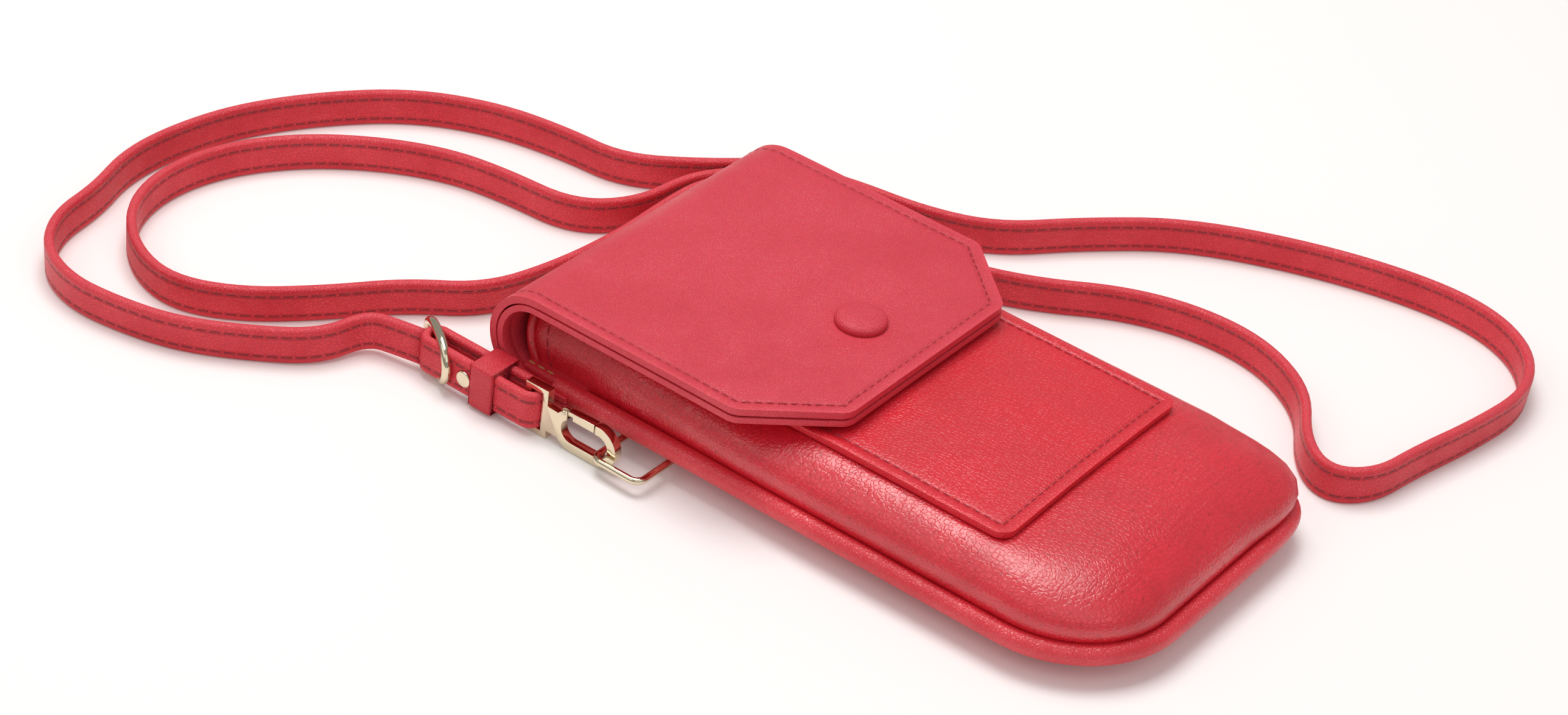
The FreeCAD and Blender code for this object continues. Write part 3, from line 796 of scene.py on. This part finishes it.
def makeFront(name, inset, thick, mouth, rolled=None):
    half, foot, seam = body["halfWidth"] - inset, body["foot"] + inset, body["seam"]
    top = body["top"] - inset
    piece = outlineLoop(name, half, foot, mouth, body["cornerRadius"] - inset, 0)
    pick(piece, "EDGE", lambda a, b: abs(a.y - mouth) < tiny and abs(b.y - mouth) < tiny)
    bpy.ops.mesh.delete(type="EDGE")
    pickAll(piece, "EDGE")
    old = (half, foot, seam)
    for i in range(1, body["wallSteps"] + 1):
        share = math.sin(quarterTurn * i / body["wallSteps"])
        old = pullRing(mouth, old, (half - body["sideInset"] * roundShare(share, body["sideRound"]),
                                    foot + body["toeInset"] * roundShare(share, body["toeRound"]),
                                    seam + (top - seam) * share))
    pullFlat(mouth, old, body["topSteps"], body["topStep"])
    tidyMesh(piece)
    border = {v.index for v in piece.data.vertices if abs(v.co.y - mouth) < tiny}
    reshape(piece, lambda co: mouthLean(squareFar(frontSoft(frontSwell(co)))))
    if rolled:
        rollEdge(piece, border, rolled)
    thicken(piece, thick)
    smooth(piece)
    return piece


def makeBack(name, inset, thick):
    half, foot, seam = body["halfWidth"] - inset, body["foot"] + inset, body["seam"]
    head = backHalf["top"] - inset
    piece = outlineLoop(name, half, foot, head, body["cornerRadius"] - inset, backHalf["crownRadius"] - inset)
    pickAll(piece, "EDGE")
    middle = (head + foot) / 2
    old = (half, foot, seam)
    for i in range(1, backHalf["steps"] + 1):
        share = i / backHalf["steps"]
        old = pullRing(middle, old, (half - backHalf["inset"] * roundShare(share, 2.0),
                                     foot + backHalf["endInset"] * roundShare(share, 2.0),
                                     seam + (inset - seam) * math.sin(quarterTurn * share)))
    pullFlat(middle, old, backHalf["flatSteps"], backHalf["flatStep"])
    tidyMesh(piece)
    reshape(piece, squareFar)
    thicken(piece, thick)
    smooth(piece)
    return piece


lining = {"inset": 1.9 * mm, "thick": 0.7 * mm, "mouth": 62.5 * mm}
settle(makeFront("frontShell", 0.0, body["leather"], body["mouth"], "mouthRoll"),
       leathers["bodyLeather"], "pouch", "body_leather", "front_panel")
settle(makeBack("backShell", 0.0, body["leather"]), leathers["bodyLeather"], "pouch", "body_leather", "back_panel")
settle(makeFront("liningFrontShell", lining["inset"], lining["thick"], lining["mouth"]), liningCloth, "pouch",
       "lining_cloth", "lining_front")
settle(makeBack("liningBackShell", lining["inset"], lining["thick"]), liningCloth, "pouch", "lining_cloth",
       "lining_back")
print("body shells made")

piping = {"radius": 2.6 * mm, "side": 46.5 * mm, "foot": -86.85 * mm, "end": 70.4 * mm, "height": 7.9 * mm,
          "bend": 27.9 * mm, "waveUp": 0.00018, "waveOut": 0.00012, "sideSteps": 30, "footSteps": 10,
          "cornerSteps": 16}


def makePiping():
    # a round roll pulled along the seam: straight, round a corner, across the foot, round and back
    p = piping
    clearSelection()
    bpy.ops.mesh.primitive_circle_add(vertices=20, radius=p["radius"], location=origin, rotation=(quarterTurn, 0, 0))
    piece = newest("pipingRoll")
    bpy.ops.object.transform_apply(location=True, rotation=True, scale=True)
    pickAll(piece)
    bpy.ops.transform.translate(value=(-p["side"], p["end"], p["height"]))
    bpy.ops.mesh.select_mode(type="EDGE")
    straight = p["end"] - (p["foot"] + p["bend"])
    across = 2 * (p["side"] - p["bend"])
    sideStep, footStep = straight / p["sideSteps"], across / p["footSteps"]

    def turnCorner(x):
        bpy.ops.mesh.spin(steps=p["cornerSteps"], angle=quarterTurn, center=(x, p["foot"] + p["bend"], p["height"]),
                          axis=(0, 0, -1))
    for _ in range(p["sideSteps"]):
        pullEdges(0, -sideStep, 0)
    turnCorner(p["bend"] - p["side"])
    for _ in range(p["footSteps"]):
        pullEdges(footStep, 0, 0)
    turnCorner(p["side"] - p["bend"])
    for _ in range(p["sideSteps"]):
        pullEdges(0, sideStep, 0)
    pick(piece, "EDGE", lambda a, b: abs(a.y - p["end"]) < tiny and abs(b.y - p["end"]) < tiny)
    bpy.ops.mesh.fill()
    tidyMesh(piece)

    def uneven(co):
        co.z += p["waveUp"] * noise.noise(Vector((co.x * 60, co.y * 60, 2.2)))
        co.x += p["waveOut"] * noise.noise(Vector((co.x * 45, co.y * 45, 7.7)))
        return squareFar(co)
    reshape(piece, uneven)
    finishWith(piece, "SUBSURF", levels=1, render_levels=1)
    smooth(piece)
    settle(piece, leathers["pipingLeather"], "pouch", "piping_leather", "rim_piping")


makePiping()
print("piping made")


# sheets of leather with turned edges
def leatherGrid(name, half, low, high, z, steps):
    clearSelection()
    bpy.ops.mesh.primitive_grid_add(x_subdivisions=steps[0], y_subdivisions=steps[1], size=1, location=origin)
    piece = newest(name)
    pickAll(piece)
    bpy.ops.transform.resize(value=(2 * half, high - low, 1), center_override=origin)
    bpy.ops.transform.translate(value=(0, (high + low) / 2, z))
    backToObject()
    return piece


def trimCorner(piece, corner, before, after, radius):
    # cuts a corner to a short arc with a few straight cuts
    a, b = (before - corner).normalized(), (after - corner).normalized()
    half = a.angle(b) / 2
    middle = (a + b).normalized()
    centre = corner + middle * (radius / math.sin(half))
    turn = math.pi - 2 * half
    out = -middle
    for k in range(1, 6):
        swing = turn * (k / 6 - 0.5)
        normal = Vector((out.x * math.cos(swing) - out.y * math.sin(swing),
                         out.x * math.sin(swing) + out.y * math.cos(swing)))
        cutAway(piece, centre + normal * radius, normal)
    backToObject()


def pathDistance(co, path):
    best = 1.0
    here = Vector((co.x, co.y))
    for a, b in zip(path, path[1:]):
        run = b - a
        share = clamp((here - a).dot(run) / run.length_squared)
        best = min(best, (a + run * share - here).length)
    return best


def markRim(piece, measure):
    layer = piece.data.attributes.new("rimDistance", "FLOAT", "POINT")
    layer.data.foreach_set("value", [measure(v.co) for v in piece.data.vertices])


def insetPath(path, gap):
    # the same open path, drawn in by gap to its left
    lines = []
    for a, b in zip(path, path[1:]):
        run = (b - a).normalized()
        side = Vector((-run.y, run.x)) * gap
        lines.append((a + side, b + side))
    inner = [lines[0][0]]
    for (a, b), (c, d) in zip(lines, lines[1:]):
        u, w = b - a, d - c
        share = ((c - a).x * w.y - (c - a).y * w.x) / (u.x * w.y - u.y * w.x)
        inner.append(a + u * share)
    return inner + [lines[-1][1]]


seamShape = {"lipPlace": 0.0014, "lipWidth": 0.0012, "sink": 0.0003, "sinkWidth": 0.0009}


def seamDip(gap, sewnIn, lip):
    # a low swell by the rim and a groove under the seam
    s = seamShape
    return (lip * math.exp(-((gap - s["lipPlace"]) / s["lipWidth"]) ** 2)
            - s["sink"] * math.exp(-((gap - sewnIn) / s["sinkWidth"]) ** 2))


stitch = {"length": 2.2 * mm, "width": 0.48 * mm, "height": 0.42 * mm, "pitch": 2.8 * mm}


def makeStitch():
    clearSelection()
    bpy.ops.mesh.primitive_uv_sphere_add(segments=8, ring_count=6, radius=0.5, location=origin,
                                         rotation=(0, quarterTurn, 0))
    piece = newest("stitchPattern")
    bpy.ops.object.transform_apply(location=True, rotation=True, scale=True)
    pickAll(piece)
    bpy.ops.transform.resize(value=(stitch["length"], stitch["width"], stitch["height"]), center_override=origin)
    backToObject()
    smooth(piece)
    return piece


stitchPattern = makeStitch()


def sewRow(name, path, pitch=stitch["pitch"]):
    # path is a list of (place, outward) along the row
    copies, run, due = [], 0.0, pitch / 2
    for (a, up), (b, nextUp) in zip(path, path[1:]):
        length = (b - a).length
        while due <= run + length:
            share = (due - run) / length
            forward = (b - a).normalized()
            out = (up * (1 - share) + nextUp * share).normalized()
            side = out.cross(forward).normalized()
            turn = Matrix((forward, side, forward.cross(side))).transposed()
            single = copyOf(stitchPattern, "stitchPattern")
            single.data.transform(Matrix.Translation(a.lerp(b, share)) @ turn.to_4x4())
            copies.append(single)
            due += pitch
        run += length
    clearSelection()
    for single in copies:
        single.select_set(True)
    bpy.context.view_layer.objects.active = copies[0]
    bpy.ops.object.join()
    return newest(name)


def sewOnPouch(name, path, material, *pitch):
    settle(sewRow(name, path, *pitch), material, "pouch", "body_leather")


pocket = {"halfWidth": 36.7 * mm, "foot": -51.5 * mm, "mouth": 33.0 * mm, "cornerRadius": 4.0 * mm,
          "under": 22.7 * mm, "leather": 1.9 * mm, "sewnIn": 3.2 * mm, "lip": 0.00018, "threadLift": 0.00012,
          "round": 0.9 * mm, "grid": (60, 70)}


def pocketRise(co):
    # the pocket lies on the crowned front
    return frontSoft(Vector((co.x, co.y, body["top"]))).z - body["top"]


def makePocket():
    p = pocket
    top, w = p["under"] + p["leather"], p["halfWidth"]
    piece = leatherGrid("slipPocket", w, p["foot"], p["mouth"], top, p["grid"])
    nearTop, near = Vector((-w, p["mouth"])), Vector((-w, p["foot"]))
    far, farTop = Vector((w, p["foot"])), Vector((w, p["mouth"]))
    trimCorner(piece, near, nearTop, far, p["cornerRadius"])
    trimCorner(piece, far, near, farTop, p["cornerRadius"])
    tidyMesh(piece, False)
    sewn = [nearTop, near, far, farTop]

    def lie(co):
        co.z += pocketRise(co)
        co.z += seamDip(pathDistance(co, sewn), p["sewnIn"], p["lip"])
        return co
    reshape(piece, lie)
    thicken(piece, p["leather"])
    roundRims(piece, p["round"], 5)
    markRim(piece, lambda co: pathDistance(co, sewn + [nearTop]))
    smooth(piece)
    settle(piece, leathers["pocketLeather"], "pouch", "body_leather", "front_pocket")
    inner = insetPath(sewn, p["sewnIn"])
    row = [a.lerp(b, k / 24) for a, b in zip(inner, inner[1:]) for k in range(24)] + [inner[-1]]
    path = [(Vector((q.x, q.y, top + pocketRise(q) - seamShape["sink"] + p["threadLift"])), zUp) for q in row]
    sewOnPouch("pocketStitches", path, redThread)


makePocket()
print("pocket made")

flap = {"halfWidth": 49.6 * mm, "tip": -3.4 * mm, "corner": 16.7 * mm, "tipHalf": 31.3 * mm, "radius": 5.0 * mm,
        "top": 30.8 * mm, "foldY": 76.15 * mm, "foldZ": 17.5 * mm, "foldRadius": 13.3 * mm, "root": 65.0 * mm,
        "outer": 1.9 * mm, "groove": 0.45 * mm, "lining": 1.6 * mm, "sewnIn": 3.1 * mm, "lip": 0.00015,
        "upperSide": 20 * mm, "slow": 0.00025, "ease": 30 * mm, "round": 0.8 * mm, "grid": (76, 62),
        "threadSink": 0.00022, "foldThreadSink": 0.0001}
flapRim = [Vector(p) for p in ((-flap["halfWidth"], 0.2), (-flap["halfWidth"], flap["corner"]),
                               (-flap["tipHalf"], flap["tip"]), (flap["tipHalf"], flap["tip"]),
                               (flap["halfWidth"], flap["corner"]), (flap["halfWidth"], 0.2))]


def flapSoft(co):
    # slight unevenness of the sheet, stronger away from the fold
    hold = clamp((flap["foldY"] - co.y) / flap["ease"]) if co.z > flap["upperSide"] else 0.0
    co.z += hold * flap["slow"] * noise.noise(Vector((co.x * 24, co.y * 24, 4.4)))
    return co


def flapSink(co):
    if co.y < flap["foldY"] and co.z > flap["upperSide"]:
        gap = min(pathDistance(co, flapRim), flap["halfWidth"] - abs(co.x))
        co.z += seamDip(gap, flap["sewnIn"], flap["lip"])
    return co


def makeSheet(name, depth, thick, seam):
    # one leather of the flap, from its tip over the fold to the root
    f = flap
    sheet = leatherGrid(name, f["halfWidth"], f["tip"], f["foldY"], f["top"] - depth, f["grid"])
    for sign in (-1, 1):
        run = Vector((sign * (f["tipHalf"] - f["halfWidth"]), f["tip"] - f["corner"])).normalized()
        cutAway(sheet, (sign * f["halfWidth"], f["corner"]), Vector((run.y * -sign, run.x * sign)))
    backToObject()
    for before, corner, after in zip(flapRim, flapRim[1:], flapRim[2:]):
        trimCorner(sheet, corner, before, after, f["radius"])
    pick(sheet, "EDGE", lambda a, b: min(a.y, b.y) > f["foldY"] - tiny)
    bpy.ops.mesh.spin(steps=60, angle=math.pi, center=(0, f["foldY"], f["foldZ"]), axis=(1, 0, 0))
    for _ in range(2):
        pullEdges(0, (f["root"] - f["foldY"]) / 2, 0)
    tidyMesh(sheet, False)
    if sheet.data.polygons[0].normal.z < 0:
        pickAll(sheet)
        bpy.ops.mesh.flip_normals()
        backToObject()
    if seam:
        reshape(sheet, flapSink)
    reshape(sheet, flapSoft)
    thicken(sheet, thick)
    roundRims(sheet, f["round"], 4)
    markRim(sheet, lambda co: min(pathDistance(co, flapRim), abs(f["halfWidth"] - abs(co.x))))
    smooth(sheet)
    wear(sheet, leathers["flapLeather"])
    return sheet


def foldPoint(angle, r=flap["foldRadius"]):
    a = math.radians(angle)
    return Vector((0, flap["foldY"] + r * math.cos(a), flap["foldZ"] + r * math.sin(a)))


# the sheet is cut where it rides wholly on one strip of the fold: angles, bodies, and where it bends
leafBend = (foldPoint(50), Vector((0, flap["foldY"] - 0.009, flap["top"])))
foldCuts = {"Root": (-181, -60, "pouch", "fold_lower", foldPoint(-90) - Vector((0, 0.006, 0)), foldPoint(-64)),
            "Low": (-60, 0, "fold_lower", "fold_middle", foldPoint(-52), foldPoint(-8)),
            "Mid": (0, 37, "fold_middle", "fold_upper", foldPoint(4), foldPoint(36)),
            "Leaf": (37, 181, "fold_upper", "flap") + leafBend}


def foldAngle(centre):
    # angle of a face round the fold; the flat parts count as its two ends
    y, z = centre.y - flap["foldY"], centre.z - flap["foldZ"]
    return math.degrees(math.atan2(z, y)) if y > 0 else math.copysign(90.0, z)


def cutSheet(sheet, *replaced):
    # replaced names the nodes that each part of the sheet stands for
    for (label, (low, high, first, second, start, end)), nodes in zip(foldCuts.items(), replaced):
        piece = copyOf(sheet, sheet.name + label)
        pick(piece, "FACE", lambda centre: not low < foldAngle(centre) <= high)
        bpy.ops.mesh.delete(type="FACE")
        backToObject()
        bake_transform(piece)
        if nodes:
            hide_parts(*nodes)
    bpy.data.objects.remove(sheet)


cutSheet(makeSheet("flapOuter", 0.0, flap["outer"], True), ("flap_root",), ("fold_strip_1",), ("fold_strip_2",),
         ("flap_outer", "fold_strip_3"))
cutSheet(makeSheet("flapInner", flap["outer"] + flap["groove"], flap["lining"], False), (), (), (), ("flap_lining",))
print("flap made")


def sewFlap():
    inner = insetPath(flapRim, flap["sewnIn"])
    side, lift = inner[0].x, flap["top"] - flap["threadSink"]

    def overFold(angle, x):
        spot = foldPoint(angle, flap["foldRadius"] - flap["foldThreadSink"])
        return Vector((x, spot.y, spot.z)), (foldPoint(angle) - foldPoint(0, 0)).normalized()
    arc = [90 - 3 * k for k in range(17)]
    path = [overFold(angle, side) for angle in reversed(arc)]
    flat = [Vector((p.x, min(p.y, flap["foldY"]))) for p in inner]
    for a, b in zip(flat, flat[1:]):
        for k in range(30):
            spot = a.lerp(b, k / 30)
            path.append((Vector((spot.x, spot.y, lift)), zUp))
    path += [overFold(angle, -side) for angle in arc]
    path = [path[0]] + [q for p, q in zip(path, path[1:]) if (q[0] - p[0]).length > tiny]
    row = sewRow("flapStitches", path)
    wear(row, redThread)
    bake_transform(row)


sewFlap()

button = {"place": (0, 16.9 * mm), "sink": 0.0002, "rim": 0.03,  # rim: a distance with no rim effect
          "rings": ((6.0, 0.0), (6.45, 0.3), (6.6, 0.9), (6.5, 1.6), (5.9, 2.25), (4.7, 2.6), (2.8, 2.8),
                    (1.0, 2.85))}


def makeButton():
    # leather-covered cap, pulled up ring by ring
    clearSelection()
    rings = [(r * mm, z * mm) for r, z in button["rings"]]
    bpy.ops.mesh.primitive_circle_add(vertices=40, radius=rings[0][0], fill_type="NGON", location=origin)
    piece = newest("coveredButton")
    pickAll(piece, "FACE")
    for (r, z), (s, w) in zip(rings, rings[1:]):
        bpy.ops.mesh.extrude_region_move(TRANSFORM_OT_translate={"value": (0, 0, w - z)})
        bpy.ops.transform.resize(value=(s / r, s / r, 1), center_override=(0, 0, w))
    pickAll(piece)
    bpy.ops.transform.translate(value=(*button["place"], flap["top"] - button["sink"]))
    tidyMesh(piece)
    finishWith(piece, "SUBSURF", levels=2, render_levels=2)
    markRim(piece, lambda co: button["rim"])
    smooth(piece)
    settle(piece, leathers["flapLeather"], "flap", "flap_leather", "flap_button")


makeButton()

backHem = {"half": 40.9 * mm, "low": 58.6 * mm, "high": 74.5 * mm, "top": 9.5 * mm, "leather": 1.6 * mm,
           "round": 0.6 * mm, "grid": (40, 8), "sewnIn": 4.5 * mm, "threadLift": 0.00005}


def makeBackHem():
    h = backHem
    piece = leatherGrid("backHem", h["half"], h["low"], h["high"], h["top"], h["grid"])
    thicken(piece, h["leather"])
    roundRims(piece, h["round"], 3)
    smooth(piece)
    settle(piece, leathers["hemLeather"], "pouch", "body_leather", "back_hem")
    y, z = h["high"] - h["sewnIn"], h["top"] + h["threadLift"]
    sewOnPouch("backHemStitches", [(Vector((x * mm, y, z)), zUp) for x in range(-40, 41, 2)], goldThread)


makeBackHem()
seamLip = {"low": (40.0 * mm, 62.0 * mm, 7.3 * mm), "high": (47.6 * mm, 80.6 * mm, 10.1 * mm), "round": 1.05 * mm,
           "sewnIn": 1.6 * mm, "threadLift": 0.0001, "sewn": (80.0, 76, 72.5), "pitch": 2.9 * mm}
mouthSeam = {"from": 0.1, "reach": 0.86, "steps": 20, "swell": 0.15, "sewnIn": 5 * mm}


def makeSeamLip(side, label):
    # the end of the back panel's edge beyond the piping, with a few bar stitches
    low, high = seamLip["low"], seamLip["high"]
    clearSelection()
    bpy.ops.mesh.primitive_cube_add(size=1, location=origin)
    lip = newest("seamLip" + label)
    pickAll(lip)
    bpy.ops.transform.resize(value=tuple(b - a for a, b in zip(low, high)), center_override=origin)
    middle = [(a + b) / 2 for a, b in zip(low, high)]
    bpy.ops.transform.translate(value=(side * middle[0], middle[1], middle[2]))
    bpy.ops.mesh.bevel(offset=seamLip["round"], segments=5, affect="EDGES", profile=0.5)
    tidyMesh(lip)
    smooth(lip)
    settle(lip, leathers["hemLeather"], "pouch", "body_leather")
    x, z = side * (high[0] - seamLip["sewnIn"]), high[2] + seamLip["threadLift"]
    sewOnPouch("lipStitches" + label, [(Vector((x, y * mm, z)), zUp) for y in seamLip["sewn"]], goldThread,
               seamLip["pitch"])


def sewMouth(side, label):
    # stitches up the wall beside the mouth
    steps, swell = mouthSeam["steps"], body["swellNear"] if side < 0 else body["swellFar"]
    spots = []
    for k in range(steps + 1):
        share = mouthSeam["from"] + mouthSeam["reach"] * k / steps
        half = body["halfWidth"] - body["sideInset"] * roundShare(share, body["sideRound"])
        half += mouthSeam["swell"] * swell * belly(share)
        spots.append(Vector((side * half, mouthPlace(share) - mouthSeam["sewnIn"],
                             body["seam"] + (body["top"] - body["seam"]) * share)))
    runs = [spots[min(k + 1, steps)] - spots[max(k - 1, 0)] for k in range(steps + 1)]
    path = [(spot, Vector((side * run.z, 0, -side * run.x)).normalized()) for spot, run in zip(spots, runs)]
    sewOnPouch("mouthStitches" + label, path, redThread)


for make in (makeSeamLip, sewMouth):
    make(-1, "Near")
    make(1, "Far")

frontHem = {"inset": 1.85 * mm, "thick": 1.0 * mm, "mouth": 82.4 * mm, "low": 62.5 * mm, "bottom": 9.6 * mm}
hemShell = makeFront("frontHemShell", frontHem["inset"], frontHem["thick"], frontHem["mouth"])
pick(hemShell, "FACE", lambda centre: centre.y < frontHem["low"] or centre.z < frontHem["bottom"])
bpy.ops.mesh.delete(type="FACE")
backToObject()
settle(hemShell, leathers["hemLeather"], "pouch", "body_leather", "front_hem")
print("hems made")

fittings = {"metalRound": 0.5 * mm, "leatherRound": 0.8 * mm, "shade": 50}
metalNodes = {"ring_near": ("ringNear", "ring_near"), "ring_far": ("ringFar", "ring_far"),
              "hook_frame_near": ("hookNear", "hook_near"), "hook_frame_far": ("hookFar", "hook_far"),
              "hook_gate_near": ("gateNear", "gate_near"), "hook_gate_far": ("gateFar", "gate_far"),
              "hook_pin_near": ("pinNear", "hook_near"), "hook_pin_far": ("pinFar", "hook_far"),
              "strap_rivet": ("strapRivet", "hook_near")}
slider = {"place": (-55.2 * mm, 100.7 * mm, 7.0 * mm), "reach": (9.2 * mm, 5.5 * mm), "wire": 1.2 * mm,
          "bar": 0.95 * mm, "turn": 34}


def makeSlider():
    # an oval of polished wire with a bar across its middle
    clearSelection()
    bpy.ops.curve.primitive_bezier_circle_add(radius=1, location=origin)
    ring = bpy.context.object
    ring.data.dimensions = "3D"
    bpy.ops.object.mode_set(mode="EDIT")
    bpy.ops.curve.select_all(action="SELECT")
    bpy.ops.transform.resize(value=(*slider["reach"], 1), center_override=origin)
    backToObject()
    ring.data.resolution_u = 16
    ring.data.bevel_depth = slider["wire"]
    ring.data.bevel_resolution = 5
    ring.rotation_euler = (quarterTurn, 0, quarterTurn - math.radians(slider["turn"]))
    bpy.ops.object.convert(target="MESH")
    bpy.ops.object.transform_apply(location=True, rotation=True, scale=True)
    ring = newest("strapSlider")
    clearSelection()
    bpy.ops.mesh.primitive_cylinder_add(vertices=20, radius=slider["bar"], depth=2 * slider["reach"][1],
                                        location=origin)
    ring.select_set(True)
    bpy.context.view_layer.objects.active = ring
    bpy.ops.object.join()
    pickAll(ring)
    bpy.ops.transform.translate(value=slider["place"])
    tidyMesh(ring)
    smooth(ring, fittings["shade"])
    return settle(ring, paleGold, "hook_near", "gold_metal", "strap_slider")


onStrap.append(makeSlider())
for node, (name, rider) in metalNodes.items():
    if node.startswith("ring"):
        piece = nodeCopy(node, name)
        smooth(piece, fittings["shade"])
    else:
        piece = roundedCopy(node, name, fittings["metalRound"])
        onStrap.append(piece)
    settle(piece, paleGold, rider, "gold_metal", node)

for node, name, rider, slotName in (("ring_tab_near", "ringTabNear", "pouch", "body_leather"),
                                    ("ring_tab_far", "ringTabFar", "pouch", "body_leather"),
                                    ("strap_keeper", "strapKeeper", "hook_near", "strap_leather")):
    piece = roundedCopy(node, name, fittings["leatherRound"])
    settle(piece, leathers["hemLeather"], rider, slotName, node)
onStrap.append(piece)  # the keeper

for node in ("snap_socket", "snap_stud", "flap_washer", "pocket_washer"):
    wear(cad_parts[node], snapSteel)
wear(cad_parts["flap_stiffener"], fibreBoard)
bpy.data.objects.remove(stitchPattern)
print("fittings made")

floorLook = {"colour": (0.96, 0.93, 0.91, 1.0), "lift": 0.06, "size": 6}
worldStrength = 0.32
panels = {"keyPanel": {"place": (0.14, 0.30, 1.31), "aim": (0, 0, 0), "size": (0.8, 0.8), "power": 11.8},
          "frontPanel": {"place": (-0.45, -0.70, 0.95), "aim": (0, 0, 0), "size": (1.1, 0.8), "power": 2.0},
          "stripPanel": {"place": (-0.74, 0.42, 0.90), "aim": (0, -0.02, 0), "size": (1.0, 0.55), "power": 1.5}}


def makeFloor():
    # pale floor that keeps the shadow, lifted to white where it is looked at
    clearSelection()
    bpy.ops.mesh.primitive_plane_add(size=floorLook["size"], location=origin)
    floor = newest("floor")
    material, tree, shader = newMaterial("paleFloor")
    tree.nodes.remove(shader)
    plain = addNode(tree, "ShaderNodeBsdfDiffuse", {"Color": floorLook["colour"]})
    rays = addNode(tree, "ShaderNodeLightPath").outputs
    seen = mathNode(tree, "MAXIMUM", rays["Is Camera Ray"], rays["Is Glossy Ray"])
    seen = mathNode(tree, "MAXIMUM", seen, rays["Is Transmission Ray"])
    lift = addNode(tree, "ShaderNodeEmission", {"Strength": product(tree, seen, floorLook["lift"])})
    both = addNode(tree, "ShaderNodeAddShader", {0: plain.outputs[0], 1: lift.outputs[0]})
    tree.links.new(both.outputs[0], tree.nodes["Material Output"].inputs["Surface"])
    wear(floor, material)


def addPanel(name, place, aim, size, power):
    clearSelection()
    bpy.ops.object.light_add(type="AREA", location=place)
    lamp = bpy.context.object
    lamp.name = name
    lamp.data.shape = "RECTANGLE"
    lamp.data.size, lamp.data.size_y = size
    lamp.data.energy = power
    lamp.rotation_euler = (Vector(aim) - Vector(place)).to_track_quat("-Z", "Y").to_euler()


def setLight():
    makeFloor()
    world = bpy.data.worlds.new("studio")
    bpy.context.scene.world = world
    world.use_nodes = True
    back = world.node_tree.nodes["Background"]
    back.inputs["Color"].default_value = (1, 1, 1, 1)
    back.inputs["Strength"].default_value = worldStrength
    for name, panel in panels.items():
        addPanel(name, **panel)
    bpy.context.scene.view_settings.view_transform = "Standard"
    print("light set")


setLight()
bpy.context.view_layer.update()
